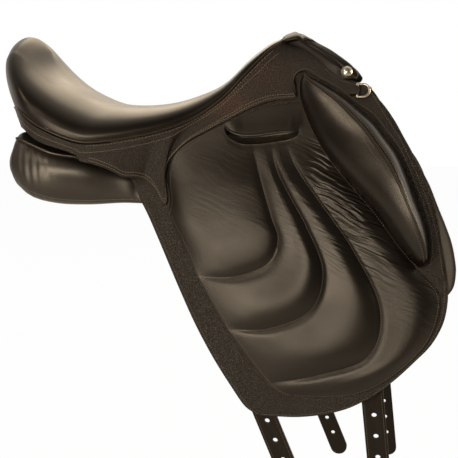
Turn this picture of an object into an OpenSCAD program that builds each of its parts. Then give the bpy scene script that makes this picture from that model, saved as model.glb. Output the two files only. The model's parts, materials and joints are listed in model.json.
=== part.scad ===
// Dressage saddle with external thigh blocks, for a horse's back or a saddle rack.
// X points forward to the pommel, Z points up, and Y points to the left of the saddle.
// The origin is on the middle plane, level with the panels' bearing line.

/* [Seat] */
// Seat size, from a pommel stud to the middle of the cantle
seat_size = 446; // [420:1:470]
// Greatest width across the seat
seat_width = 268; // [252:1:284]
// Height of the deepest point of the seat above the bearing line
seat_height = 122; // [114:1:132]
// Rise of the cantle above the deepest point of the seat
cantle_rise = 94; // [82:1:104]
// Rise of the pommel above the deepest point of the seat
pommel_rise = 86; // [78:1:94]
// Thickness of the seat leather
seat_leather = 2.2; // [1.6:0.1:3]
// Depth of the foam under the middle of the seat
foam_depth = 17; // [12:0.5:20]
// Thickness of the webbing under the foam
seat_web_thick = 1.8; // [1.2:0.1:2.4]
// Radius of the piping between the seat and the skirts
seat_welt_r = 1.9; // [1.5:0.1:2.4]

/* [Tree] */
// Thickness of the laminated tree
tree_thick = 8; // [6:0.5:10]
// Thickness of the steel springs along the rails
spring_thick = 1.6; // [1.2:0.1:2.4]
// Thickness of the steel head plate
head_thick = 5; // [4:0.5:6]
// Width of the steel head plate along the saddle
head_wide = 36; // [30:1:42]

/* [Stirrup bars] */
// Length of a stirrup bar
bar_len = 66; // [58:1:72]
// Thickness of the bar, outwards
bar_thick = 5.5; // [4.5:0.1:6.5]
// Height of the bar
bar_high = 10; // [8:0.5:12]
// Room between the bar and its plate for the stirrup leather
bar_room = 7.5; // [6:0.5:8.5]
// Diameter of the catch's pin
catch_pin_d = 3; // [2.4:0.1:3.6]

/* [Leather] */
// Thickness of a flap
flap_thick = 3; // [2.2:0.1:4]
// Thickness of the skirts
skirt_thick = 2.4; // [1.8:0.1:3.2]
// Thickness of the pommel cover
pommel_leather = 2; // [1.5:0.1:2.6]
// Depth of the felt under the pommel cover
pommel_felt = 6; // [4:0.5:8]
// Thickness of the panel's front wings
wing_thick = 3; // [2.2:0.1:4]

/* [Flaps] */
// Drop of the flap's lower edge below the bearing line
flap_drop = 229; // [205:1:255]
// Width across the inner faces of the flaps at the bearing line
flap_span = 252; // [236:1:268]
// Thickness of the quilted pad at its sewn lines and edges
pad_edge = 1.8; // [1.4:0.1:2.4]
// Crown of the quilted pad between its sewn lines
pad_crown = 7; // [4:0.5:9]
// Length of the stirrup-leather slot
slot_len = 74; // [66:1:80]
// Height of the stirrup-leather slot
slot_high = 9; // [7:0.5:11]
// Radius of the rolled lip over the slot
lip_r = 2.6; // [2:0.1:3.2]

/* [Thigh blocks] */
// Height of a thigh block above the flap
block_high = 44; // [34:1:52]
// Thickness of the leather over the block
block_leather = 1.8; // [1.4:0.1:2.4]
// Radius of the piping along the block's ridge
block_welt_r = 1.5; // [1.2:0.1:1.9]

/* [Panels] */
// Radius of the piping along the panel's rear edge
panel_welt_r = 2; // [1.5:0.1:2.4]
// Bulge of the panel between its corners
panel_bulge = 9; // [6:0.5:11]

/* [Girth straps] */
// Width of a girth strap
billet_wide = 25; // [22:0.5:28]
// Thickness of a girth strap
billet_thick = 4.4; // [3.6:0.1:5]
// Length of a girth strap from its sewn edge to its tip
billet_len = 245; // [210:1:280]
// Diameter of the punched holes
hole_d = 6; // [5:0.1:7]
// Distance between punched holes
hole_pitch = 25; // [22:0.5:26]
// Number of punched holes in a strap
hole_count = 7; // [5:1:8]
// Distance from a strap's tip to its first hole
hole_first = 36; // [30:1:42]
// Thickness of the webs that carry the straps
girth_web_thick = 2; // [1.4:0.1:2.4]

/* [Fittings] */
// Diameter of a pommel stud
stud_d = 14; // [12:0.5:16]
// Height of a pommel stud
stud_high = 4.5; // [3.5:0.1:5.5]
// Diameter of the dee ring's wire
dee_wire = 3; // [2.4:0.1:3.6]
// Inside height of a dee ring
dee_inside = 13; // [12:0.5:15]
// Straight run of a dee ring's legs
dee_leg = 6; // [4:0.5:8]
// Gap left between neighbouring pieces
fit = 0.3; // [0.25:0.01:0.4]
// Radial running clearance of pins and hinge wires
run_fit = 0.05; // [0.03:0.01:0.1]

/* [Hidden] */
$fn = 48;

smooth_leather = [0.17, 0.14, 0.12];
grained_leather = [0.14, 0.12, 0.10];
under_leather = [0.11, 0.10, 0.09];
thread_tan = [0.45, 0.38, 0.30];
silver_metal = [0.78, 0.77, 0.73];
grey_steel = [0.48, 0.49, 0.50];
birch_wood = [0.76, 0.60, 0.42];
foam_cream = [0.88, 0.82, 0.66];
web_grey = [0.62, 0.60, 0.55];

// The outlines below are drawn for these sizes and follow the sizes above
drawn_size = 446;
drawn_width = 268;
drawn_height = 122;
drawn_cantle = 94;
drawn_pommel = 86;
drawn_drop = 229;
deepest_x = 30;

function long(x) = x * seat_size / drawn_size;
function wide(w) = w * seat_width / drawn_width;
function rise(x) = x < deepest_x ? cantle_rise / drawn_cantle : pommel_rise / drawn_pommel;
function high(x, z) =
    z <= 0 ? z * flap_drop / drawn_drop :
    z <= drawn_height ? z * seat_height / drawn_height :
    seat_height + (z - drawn_height) * rise(x);

// The side of the horse: half the width between the flaps' inner faces, rolled in over the pommel
side_slope = 0.29;
side_curve = 0.00032;
side_toe = 0.04;
side_mid_x = 191;
roll_z = high(200, 170);
roll_rate = 0.012;
function side_w(x, z) =
    flap_span / 2 - side_slope * z - side_curve * z * z + side_toe * (x - side_mid_x)
    - roll_rate * pow(max(0, z - roll_z), 2);
// Lateral place of what lies on the flap's outer face, and of the layers inside the flap
function over_flap(x, z) = side_w(x, z) + flap_thick + fit;
function under_flap(x, z) = side_w(x, z) - fit;
function under_wing(x, z) = under_flap(x, z) - wing_thick - fit;
function under_web(x, z) = under_wing(x, z) - girth_web_thick - fit;

function unit(v) = v / norm(v);
function mix(a, b, t) = a + (b - a) * t;
function ease(t) = let (c = min(max(t, 0), 1)) c * c * (3 - 2 * c);
function middle(points) = [for (k = [0:2]) [for (p = points) p[k]] * [for (p = points) 1] / len(points)];

// Smooth curve through a list of points or of rows of values, with t from 0 to 1
function smooth(a, b, c, d, t) =
    0.5 * (2 * b + (c - a) * t + (2 * a - 5 * b + 4 * c - d) * t * t + (3 * b - a - 3 * c + d) * t * t * t);
function along(list, t) =
    let (n = len(list) - 1, s = min(max(t, 0), 1) * n, i = min(floor(s), n - 1))
    smooth(
        i > 0 ? list[i - 1] : 2 * list[0] - list[1], list[i], list[i + 1],
        i < n - 1 ? list[i + 2] : 2 * list[n] - list[n - 1], s - i);
function closed_at(list, t) =
    let (n = len(list), s = t * n, i = floor(s))
    smooth(list[(i + n - 1) % n], list[i % n], list[(i + 1) % n], list[(i + 2) % n], s - i);
// Values of a table at x, whose rows start with their own x
function row_at(table, x, i = 0) =
    i < len(table) - 2 && x > table[i + 1][0] ? row_at(table, x, i + 1) :
    let (n = len(table) - 1, t = (x - table[i][0]) / (table[i + 1][0] - table[i][0]))
    smooth(
        i > 0 ? table[i - 1] : 2 * table[0] - table[1], table[i], table[i + 1],
        i < n - 1 ? table[i + 2] : 2 * table[n] - table[n - 1], t);
// Surface patch between four curves that meet at their ends
function patch(top, bottom, rear, front, u, v) =
    mix(along(top, u), along(bottom, u), v) + mix(along(rear, v), along(front, v), u)
    - mix(mix(top[0], top[len(top) - 1], u), mix(bottom[0], bottom[len(bottom) - 1], u), v);

// A sheet moved along its own normals, by a depth for each point
function normal_at(grid, r, c) =
    let (
        rows = len(grid), cols = len(grid[0]),
        du = grid[min(r + 1, rows - 1)][c] - grid[max(r - 1, 0)][c],
        dv = grid[r][min(c + 1, cols - 1)] - grid[r][max(c - 1, 0)])
    unit(cross(du, dv));
function sunk(grid, depth) = [
    for (r = [0:len(grid) - 1])
        [for (c = [0:len(grid[0]) - 1]) grid[r][c] - depth[r][c] * normal_at(grid, r, c)]
];
function flat_list(grid) = [for (row = grid) each row];
function flipped(faces) = [for (f = faces) [f[0], f[2], f[1]]];

// Closed solid between two sheets of the same grid; a fan also closes its left and right last rows
module slab(outer, inner, fan = false) {
    rows = len(outer);
    cols = len(outer[0]);
    base = rows * cols;
    mid_r = floor(rows / 2) - 1;
    mid_c = floor(cols / 2) - 1;
    outward = cross(
        outer[mid_r + 1][mid_c] - outer[mid_r][mid_c], outer[mid_r][mid_c + 1] - outer[mid_r][mid_c])
        * (outer[mid_r][mid_c] - inner[mid_r][mid_c]);
    skin = [
        for (r = [0:rows - 2]) for (c = [0:cols - 2])
            let (a = r * cols + c, b = a + 1, d = a + cols, e = d + 1)
            each [[a, b, e], [a, e, d]]
    ];
    half = (rows - 1) / 2;
    last = cols - 1;
    ridge = !fan ? [] : [
        [half * cols + last, (half - 1) * cols + last, (half + 1) * cols + last],
        for (k = [1:half - 1])
            let (
                a = (half - k) * cols + last, b = (half + k) * cols + last,
                d = (half - k - 1) * cols + last, e = (half + k + 1) * cols + last)
            each [[a, d, e], [a, e, b]]
    ];
    top_faces = concat(skin, ridge);
    bottom_faces = [for (f = flipped(top_faces)) [for (i = f) i + base]];
    near_edge = [for (r = [rows - 1:-1:0]) r * cols];
    first_row = [for (c = [1:cols - 1]) c];
    far_edge = fan ? [] : [for (r = [1:rows - 1]) r * cols + cols - 1];
    last_row = [for (c = [cols - 1 - (fan ? 0 : 1):-1:1]) (rows - 1) * cols + c];
    rim = concat(near_edge, first_row, far_edge, last_row);
    walls = [
        for (i = [0:len(rim) - 1])
            let (a = rim[i], b = rim[(i + 1) % len(rim)])
            each [[a, a + base, b + base], [a, b + base, b]]
    ];
    faces = concat(top_faces, bottom_faces, walls);
    polyhedron(concat(flat_list(outer), flat_list(inner)), outward > 0 ? faces : flipped(faces));
}

// Closed solid through a row of closed rings
module loft(rings) {
    n = len(rings);
    sides = len(rings[0]);
    mid = floor(n / 2);
    centre = middle(rings[mid]);
    spin = [
        for (k = [0:sides - 1]) cross(rings[mid][k] - centre, rings[mid][(k + 1) % sides] - centre)
    ];
    travel = middle(rings[min(mid + 1, n - 1)]) - middle(rings[mid - 1]);
    turn = middle(spin) * travel;
    skin = [
        for (i = [0:n - 2]) for (k = [0:sides - 1])
            let (a = i * sides + k, b = i * sides + (k + 1) % sides, e = a + sides, c = b + sides)
            each [[a, e, c], [a, c, b]]
    ];
    first_cap = [for (k = [1:sides - 2]) [0, k, k + 1]];
    last_base = (n - 1) * sides;
    last_cap = [for (k = [1:sides - 2]) [last_base, last_base + k + 1, last_base + k]];
    faces = concat(skin, first_cap, last_cap);
    polyhedron(flat_list(rings), turn > 0 ? faces : flipped(faces));
}

// Round cord along a row of points
module cord(path, r, sides, level) {
    n = len(path);
    loft([
        for (i = [0:n - 1])
            let (
                t = unit(path[min(i + 1, n - 1)] - path[max(i - 1, 0)]),
                a = unit(cross(t, level)), b = cross(a, t))
            [for (k = [0:sides - 1]) path[i] + r * (cos(360 * k / sides) * a + sin(360 * k / sides) * b)]
    ]);
}

module on_right() {
    mirror([0, 1, 0]) children();
}

// Outline drawn in the YZ plane and given its length along X
module across(x, length) {
    translate([x, 0, 0]) rotate([90, 0, 90]) linear_extrude(length) children();
}

// Seat: each row is drawn from the welt up to the spine of the seat
// welt x, half width and z; spine x and z; rise and bulge at the welt; flat share and rim at the spine
seat_rows = [
    [-138, 0, 120, -105, 188.5, 92, 52, 0.85, 54],
    [-130, 66, 121, -102, 177, 73.5, 44, 0.80, 39],
    [-106, 113, 118, -92, 160, 43, 20, 0.72, 18],
    [-74, 129, 99, -70, 145, 36, 7, 0.66, 8.5],
    [-28, 133, 82, -28, 129, 29.5, 5, 0.62, 3.5],
    [6, 130, 81, 6, 123, 27, 4, 0.60, 2],
    [63, 114, 91, 63, 125, 24, 3, 0.56, 2],
    [106, 99, 106, 106, 136.5, 22, 2, 0.52, 2],
    [143, 86, 131, 143, 153, 20, 1, 0.48, 2],
    [173, 75, 163, 173, 183, 16, 0, 0.44, 2],
    [197, 63, 188, 196, 201.5, 9, 0, 0.42, 1],
    [216, 49, 203, 214, 208, 4, 0, 0.40, 0]
];
seat_cols = 20;
seat_steps = 9;
spine_share = 0.94;
welt_room = seat_welt_r + fit;
// Rows of the drawing that the columns stand on, closer together round the cantle
rear_gather = 1.3;
last_row = len(seat_rows) - 1;
flat_rise = 30;
tuck_share = 0.14;
function row_of(k) = last_row * pow(abs(k) / seat_cols, rear_gather);

function welt_point(row) =
    let (r = along(seat_rows, row / last_row)) [long(r[0]), wide(r[1]), high(r[0], r[2])];
function seat_point(row, v) =
    let (
        r = along(seat_rows, row / last_row),
        edge = [long(r[0]), wide(r[1]), high(r[0], r[2])],
        spine = [long(r[3]), 0, high(r[3], r[4])],
        run = [edge[0] - spine[0], edge[1], 0],
        out = unit(run),
        rise_by = [out[0] * r[6], out[1] * r[6], r[5]],
        // Where the seat lies flat it meets the piping from the side
        tuck = max(0, flat_rise - r[5]) * tuck_share,
        foot = edge + unit(rise_by) * welt_room - tuck * out,
        shoulder = edge + rise_by,
        crown = spine + run * r[7] + [0, 0, r[8]],
        u = 1 - v)
    u * u * u * foot + 3 * u * u * v * shoulder + 3 * u * v * v * crown + v * v * v * spine;
function to_left(p, k) = [p[0], k < 0 ? p[1] : -p[1], p[2]];
// Outer face of the seat, from the left of the pommel round the cantle to its right
seat_grid = [
    for (k = [-seat_cols:seat_cols])
        [for (j = [0:seat_steps]) to_left(seat_point(row_of(k), spine_share * j / seat_steps), k)]
];
// The foam is thin over the cantle, at its edges and at the pommel
cantle_foam = 7;
pommel_foam = 4;
function foam_at(k, j) =
    let (s = row_of(k) / last_row)
    mix(mix(cantle_foam, foam_depth, ease(s / 0.3)), pommel_foam, ease((s - 0.65) / 0.3))
    * min(1, 0.25 + 2.8 * j / seat_steps);
// Sheet at a depth under the seat's outer face, over some of its columns and rows
function seat_layer(ends, rows, depth, foam) = [
    for (k = ends)
        [
            for (j = rows)
                seat_grid[k + seat_cols][j]
                - (depth + foam * foam_at(k, j)) * normal_at(seat_grid, k + seat_cols, j)
        ]
];
function columns(n) = [for (k = [-n:n]) k];
function rows_from(first, last) = [for (j = [first:last]) j];

module seat_cover() {
    all_rows = rows_from(0, seat_steps);
    color(smooth_leather)
    slab(seat_grid, seat_layer(columns(seat_cols), all_rows, seat_leather, 0), true);
}

foam_top = seat_leather + fit;
module seat_foam() {
    ends = columns(seat_cols - 1);
    rows = rows_from(1, seat_steps);
    color(foam_cream)
    slab(seat_layer(ends, rows, foam_top, 0), seat_layer(ends, rows, foam_top, 1), true);
}

web_top = foam_top + fit;
web_under = web_top + seat_web_thick;
module seat_web() {
    ends = columns(seat_cols - 3);
    rows = rows_from(4, seat_steps);
    color(web_grey)
    slab(seat_layer(ends, rows, web_top, 1), seat_layer(ends, rows, web_under, 1), true);
}

tree_top = web_under + fit;
tree_under = tree_top + tree_thick;
// The rails run on to the rear face of the head plate's arch
head_angles = [21, 40, 58, 75];
function head_end(lift, side) = [
    for (a = head_angles)
        let (p = arch_centre + (arch_r + lift) * [cos(a), sin(a)]) [head_x - fit, side * p[0], p[1]]
];
head_over = 1.5;
function rail_sheet(depth, lift) = concat(
    [head_end(lift, 1)], seat_layer(columns(seat_cols - 2), rows_from(3, 6), depth, 1), [head_end(lift, -1)]);
module tree() {
    color(birch_wood)
    slab(rail_sheet(tree_top, head_over), rail_sheet(tree_under, head_over - tree_thick));
}

// Springs lie under the rails, from the turn of the cantle to behind the head
spring_cols = [for (k = [-17:-10]) k];
spring_rows = [4, 5];
spring_top = tree_under + fit;
spring_under = spring_top + spring_thick;
module spring() {
    slab(seat_layer(spring_cols, spring_rows, spring_top, 1), seat_layer(spring_cols, spring_rows, spring_under, 1));
}
module tree_springs() {
    color(grey_steel) {
        spring();
        on_right() spring();
    }
}

// Rivet heads stand on the springs' undersides
rivet_r = 3.5;
rivet_high = 1.8;
rivet_cells = [1, 3, 6];
module rivet_head() {
    rotate_extrude()
    intersection() {
        translate([0, rivet_high - 2 * rivet_r]) circle(2 * rivet_r);
        square([rivet_r, rivet_high]);
    }
}
module spring_rivets() {
    under = seat_layer(spring_cols, spring_rows, spring_under + 2 * fit, 1);
    deeper = seat_layer(spring_cols, spring_rows, spring_under + 1, 1);
    for (i = rivet_cells) {
        place = (under[i][0] + under[i + 1][1]) / 2;
        down = unit((deeper[i][0] + deeper[i + 1][1]) / 2 - place);
        translate(place) rotate(acos(down[2]), cross([0, 0, 1], down)) rivet_head();
    }
}
module tree_rivets() {
    color(grey_steel) {
        spring_rivets();
        on_right() spring_rivets();
    }
}

// Head plate: straight legs that lean in, joined by an arch under the pommel
leg_lean = 21;
leg_bottom_z = high(200, 105);
leg_len = (high(240, 165) - leg_bottom_z) / cos(leg_lean);
leg_inset = 25;
head_x = long(222);
leg_bottom_w = side_w(head_x, leg_bottom_z) - leg_inset;
leg_top = [leg_bottom_w - leg_len * sin(leg_lean), leg_bottom_z + leg_len * cos(leg_lean)];
head_turn = 90 - leg_lean;
// The arch turns from the legs' lean to level, then runs level to the middle
arch_r = leg_top[0] / 1.45;
arch_centre = leg_top - arch_r * [cos(leg_lean), sin(leg_lean)];
function head_outline(inset) =
    let (r = arch_r - inset)
    [
        [leg_bottom_w - inset * cos(leg_lean), leg_bottom_z - inset * sin(leg_lean)],
        for (i = [0:8]) let (a = leg_lean + head_turn * i / 8) arch_centre + r * [cos(a), sin(a)],
        [0, arch_centre[1] + r]
    ];
function mirrored(points) = [for (i = [len(points) - 1:-1:0]) [-points[i][0], points[i][1]]];

bar_rivet_d = 5;
bar_rivet_z = [14, 30];
bar_rivet_x = head_x + 12;
module beside_head() {
    translate([0, leg_bottom_w, leg_bottom_z]) rotate([leg_lean, 0, 0]) children();
}
module rivet_bores(from, to) {
    for (z = bar_rivet_z) {
        translate([bar_rivet_x, from, z]) rotate([-90, 0, 0]) cylinder(d = bar_rivet_d, h = to - from);
    }
}
module head_plate() {
    outer = head_outline(0);
    inner = head_outline(head_thick);
    color(grey_steel)
    difference() {
        across(head_x, head_wide)
        polygon(concat(outer, mirrored(outer), [for (p = inner) [-p[0], p[1]]], [
            for (i = [len(inner) - 1:-1:0]) inner[i]
        ]));
        beside_head() rivet_bores(-head_thick - 1, 1);
        on_right() beside_head() rivet_bores(-head_thick - 1, 1);
    }
}

// Stirrup bar: a plate on the head's leg, an arm and the bar, with a tongue for the catch
plate_thick = 4;
plate_z = [6, 40];
arm_len = 9;
bar_front = head_x + 14;
bar_rear = bar_front - bar_len;
bar_z = [0, bar_high];
bar_y = plate_thick + bar_room;
tongue_thick = bar_thick / 2 - fit / 2;
tongue_len = 9;
catch_pin_x = bar_rear - tongue_len / 2;
catch_pin_z = bar_high / 2;
catch_y = bar_y + tongue_thick + fit;
module bar_shape(length, thick) {
    rotate([90, 0, 90]) linear_extrude(length) {
        corner = min(thick, bar_high) / 3;
        translate([corner, 0]) square([thick - 2 * corner, bar_high]);
        translate([0, corner]) square([thick, bar_high - 2 * corner]);
        for (y = [corner, thick - corner]) for (z = [corner, bar_high - corner]) {
            translate([y, z]) circle(corner);
        }
    }
}
module catch_bore(r) {
    translate([catch_pin_x, bar_y - 1, catch_pin_z]) rotate([-90, 0, 0]) cylinder(r = r, h = bar_thick + 2);
}
module stirrup_bar() {
    beside_head()
    difference() {
        union() {
            translate([bar_front - 24, 0, plate_z[0]]) cube([24 + 20, plate_thick, plate_z[1] - plate_z[0]]);
            translate([bar_front, 0, bar_z[0]]) cube([arm_len, bar_y + bar_thick, plate_z[1] - bar_z[0] - 10]);
            translate([bar_rear, bar_y, bar_z[0]]) bar_shape(bar_len + 1, bar_thick);
            translate([bar_rear - tongue_len, bar_y, 1]) cube([tongue_len + 1, tongue_thick, bar_high - 2]);
        }
        rivet_bores(-1, plate_thick + 1);
        catch_bore(catch_pin_d / 2);
    }
}
module stirrup_bar_right() {
    color(grey_steel) on_right() stirrup_bar();
}
module stirrup_bar_left() {
    color(grey_steel) stirrup_bar();
}

catch_len = 20;
catch_thick = bar_thick - tongue_thick - fit;
module stirrup_catch() {
    beside_head()
    difference() {
        union() {
            translate([catch_pin_x, catch_y, catch_pin_z]) rotate([-90, 0, 0])
            cylinder(d = bar_high - 2, h = catch_thick);
            translate([catch_pin_x - catch_len, catch_y, 1]) cube([catch_len, catch_thick, bar_high - 2]);
            translate([catch_pin_x - catch_len, catch_y, 1]) cube([4, catch_thick, bar_high + 3]);
        }
        catch_bore(catch_pin_d / 2 + run_fit);
    }
}
module stirrup_catch_right() {
    color(silver_metal) on_right() stirrup_catch();
}
module stirrup_catch_left() {
    color(silver_metal) stirrup_catch();
}

module catch_pin() {
    beside_head()
    translate([catch_pin_x, bar_y, catch_pin_z]) rotate([-90, 0, 0]) cylinder(d = catch_pin_d, h = bar_thick);
}
module catch_pins() {
    color(silver_metal) {
        catch_pin();
        on_right() catch_pin();
    }
}

module bar_rivet_set() {
    beside_head()
    for (z = bar_rivet_z) translate([bar_rivet_x, -head_thick, z]) rotate([-90, 0, 0])
        cylinder(d = bar_rivet_d, h = head_thick + plate_thick);
}
module bar_rivets() {
    color(grey_steel) {
        bar_rivet_set();
        on_right() bar_rivet_set();
    }
}

// Piping cord in the seam round the seat
module seat_welt() {
    color(thread_tan)
    cord([for (k = columns(seat_cols)) to_left(welt_point(row_of(k)), k)], seat_welt_r, 6, [0, 0, 1]);
}

// Skirt: its lower edge below the seat, from the cantle to the thigh block, by the seat's drawn rows
// row, x, least half width and z; where it lies on the flap the flap sets the width
skirt_lower = [
    [0, -132, 0, 95], [1, -121, 66, 96], [2, -99, 115, 95], [3, -72, 131, 80], [4, -27, 135, 66],
    [4.3, -20, 135, 58], [4.9, -2, 133, 53.5], [5.3, 16, 129, 46.5], [5.6, 30, 124, 38.5],
    [5.85, 43, 119, 37.5], [6.1, 56, 113, 33.5], [6.3, 68, 0, 24], [6.5, 78, 0, 9], [6.65, 84, 0, 8],
    [6.85, 82, 0, 24], [7.05, 79.5, 0, 42], [7.25, 84, 0, 59], [7.6, 104, 0, 80], [8, 131, 0, 95],
    [8.5, 154, 0, 107], [9, 180, 0, 120.5], [9.5, 206, 0, 129.5], [10.3, 230, 0, 131.5], [11, 237, 0, 133]
];
// Then beside the pommel cover, round the block's top and down the front strip: x and z, edge for edge
strip_outer = [
    [216, 203], [229, 196.8], [242, 190], [257, 178.9], [271, 167.1], [286, 156], [301, 151.4], [318, 146],
    [333, 126], [346, 106], [358, 87], [370, 64], [382, 39], [393, 12], [401, -20], [406, -48], [410, -68]
];
strip_inner = [
    [237, 133], [231.5, 150], [235.5, 162], [246, 164.5], [260, 156], [278, 146], [294, 135], [310, 122.5],
    [325, 112], [339, 95], [354, 76], [365, 54], [375, 30], [383, 10], [390.5, -12], [393, -36], [389, -57]
];
skirt_steps = 3;
strip_count = 26;
tail_rows = [4.9, 7.5];
tail_split = 3;
// Stations along the welt are the seat's own, split where the tail turns
skirt_stations = [
    for (k = [0:seat_cols - 1])
        let (a = row_of(k), b = row_of(k + 1), n = b > tail_rows[0] && a < tail_rows[1] ? tail_split : 1)
        each [for (i = [0:n - 1]) mix(a, b, i / n)],
    last_row
];
function free(p) = [long(p[0]), wide(p[1]), high(p[0], p[2])];
flap_from = long(20);
function laid(m) = [m[0], m[0] < flap_from ? m[1] : max(m[1], over_flap(m[0], m[2])), m[2]];
welt_step = 0.2;
function welt_line(row) =
    unit(welt_point(min(row + welt_step, last_row)) - welt_point(max(row - welt_step, 0)));
function skirt_point(row, v) =
    let (
        r = row_at(skirt_lower, row), low = laid(free([r[1], r[2], r[3]])), top = welt_point(row),
        t = welt_line(row), run = low - top,
        hang = top + (welt_room + fit) * unit(run - (run * t) * t))
    laid(mix(hang, low, v));
strip_welt_w = 50;
function strip_point(t, v) =
    let (
        p = along(strip_outer, t), q = along(strip_inner, t), w = strip_welt_w * (1 - ease(t * 12)),
        top = free([p[0], w, p[1]]), low = free([q[0], 0, q[1]]),
        flat_run = [low[0] - top[0], 0, low[2] - top[2]], room = (welt_room + fit) * (1 - ease(t * 9)))
    laid(mix(top + room * unit(flat_run), low, v));
skirt_sheet = concat(
    [for (row = skirt_stations) [for (j = [0:skirt_steps]) skirt_point(row, j / skirt_steps)]],
    [
        for (i = [1:strip_count])
            [for (j = [0:skirt_steps]) strip_point(i / strip_count, j / skirt_steps)]
    ]);
// Outward on the sides, rearward round the cantle
cantle_half = 110;
function outward(p) = let (n = ease(p[1] / wide(cantle_half))) unit([-(1 - n), n, 0]);
skirt_lap = 0.15;
module skirt() {
    // The two skirts meet at the middle of the cantle
    first = [for (p = skirt_sheet[0]) p + [0, skirt_lap, 0]];
    inner = concat([first], [for (i = [1:len(skirt_sheet) - 1]) skirt_sheet[i]]);
    slab([for (row = inner) let (dir = outward(row[0])) [for (p = row) p + skirt_thick * dir]], inner);
}
module skirt_right() {
    color(grained_leather) on_right() skirt();
}
module skirt_left() {
    color(grained_leather) skirt();
}

// Facing under the cantle, from inside the band's lower edge in towards the panels
facing_thick = 1.8;
facing_cols = 9;
facing_deep = 32;
facing_rise = 5;
facing_at = 0.8;
function facing_point(k, v) =
    let (
        p = skirt_point(row_of(k), facing_at), dir = outward(p),
        q = p - (2.5 * fit + facing_deep * v) * dir + [0, 0, facing_rise * v])
    to_left(q, k);
module rear_facing() {
    sheet = [for (k = columns(facing_cols)) [for (v = [0, 0.5, 1]) facing_point(k, v)]];
    color(under_leather)
    slab([for (row = sheet) [for (p = row) p + [0, 0, facing_thick]]], sheet);
}

// Pommel cover: rear seam and front edge from the middle down to its corner under the stud
pommel_rear = [
    [215.4, 0, 206.5], [216.8, 20, 208.4], [218.4, 38, 206], [225, 52, 199.6], [243, 0, 190.5],
    [259, 0, 178.6], [273, 0, 166.6], [287, 0, 156.4], [301, 0, 152.6]
];
pommel_front = [
    [222, 0, 201], [232, 18, 206.5], [241, 36, 205], [251, 50, 199], [267, 0, 190],
    [285, 0, 177.5], [296, 0, 168.5], [303.5, 0, 160.5], [306.5, 0, 155.6]
];
pommel_cols = 18;
pommel_steps = 3;
function pommel_point(k, v) =
    let (
        t = abs(k) / pommel_cols, p = along(pommel_rear, t), q = along(pommel_front, t),
        m = mix(free(p), free(q), v), w = max(m[1], t < 0.3 ? 0 : over_flap(m[0], m[2])))
    [m[0], k < 0 ? w : -w, m[2]];
pommel_sheet = [
    for (k = columns(pommel_cols)) [for (j = [0:pommel_steps]) pommel_point(k, j / pommel_steps)]
];
function even_sheet(grid, depth) = [for (row = grid) [for (p = row) depth]];
module pommel_cover() {
    color(smooth_leather)
    slab(sunk(pommel_sheet, even_sheet(pommel_sheet, -pommel_leather)), pommel_sheet);
}
felt_cols = 4;
function felt_sheet(depth) = [
    for (k = columns(felt_cols)) [
        for (j = [0:pommel_steps])
            pommel_sheet[k + pommel_cols][j] - [0, 0, depth]
    ]
];
module pommel_pad() {
    color(web_grey)
    slab(felt_sheet(2 * fit), felt_sheet(2 * fit + pommel_felt));
}

// Fittings stand square on the saddle's side
function side_lean(z) = atan(side_slope + 2 * side_curve * z);
module beside(x, z, lift) {
    translate([x, over_flap(x, z) + lift / cos(side_lean(z)), z]) rotate([side_lean(z), 0, 0]) children();
}
stud_x = long(293);
stud_z = high(293, 163);
stud_rim = 1.2;
stud_step = 0.5;
module stud() {
    beside(stud_x, stud_z, pommel_leather + fit)
    rotate([-90, 0, 0]) rotate_extrude() {
        square([stud_d / 2, stud_rim]);
        intersection() {
            half = stud_d / 2 - stud_step;
            dome = stud_high - stud_rim;
            dome_r = (half * half + dome * dome) / (2 * dome);
            translate([0, stud_high - dome_r]) circle(dome_r);
            square([half + stud_step / 2, stud_high]);
        }
    }
}
module pommel_studs() {
    color(silver_metal) {
        stud();
        on_right() stud();
    }
}

// Dee ring: a straight bar in the chape, two legs and a half-round bow
dee_x = long(306);
dee_z = high(306, 141);
dee_half = dee_inside / 2 + dee_wire / 2;
chape_wall = 1.1;
chape_high = dee_wire + 2 * run_fit + 2 * chape_wall;
chape_wide = dee_inside - 2.6;
chape_tail = 9;
module dee_place() {
    beside(dee_x, dee_z, skirt_thick + fit + chape_high / 2) children();
}
module dee_ring() {
    dee_place() {
        translate([0, 0, -dee_half]) cylinder(d = dee_wire, h = 2 * dee_half);
        for (z = [-dee_half, dee_half]) {
            translate([0, 0, z]) sphere(d = dee_wire);
            translate([0, 0, z]) rotate([0, 90, 0]) cylinder(d = dee_wire, h = dee_leg);
        }
        translate([dee_leg, 0, 0]) rotate([90, 0, 0]) rotate([0, 0, -90])
        rotate_extrude(angle = 180) translate([dee_half, 0]) circle(d = dee_wire);
    }
}
module dee_ring_right() {
    color(silver_metal) on_right() dee_ring();
}
module dee_ring_left() {
    color(silver_metal) dee_ring();
}
module dee_chape() {
    dee_place()
    difference() {
        union() {
            translate([0, 0, -chape_wide / 2]) cylinder(d = chape_high, h = chape_wide);
            translate([-chape_tail, -chape_high / 2, -chape_wide / 2]) cube([chape_tail, chape_high, chape_wide]);
        }
        translate([0, 0, -chape_wide]) cylinder(d = dee_wire + 2 * run_fit, h = 2 * chape_wide);
    }
}
module dee_chape_right() {
    color(grained_leather) on_right() dee_chape();
}
module dee_chape_left() {
    color(grained_leather) dee_chape();
}

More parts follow.
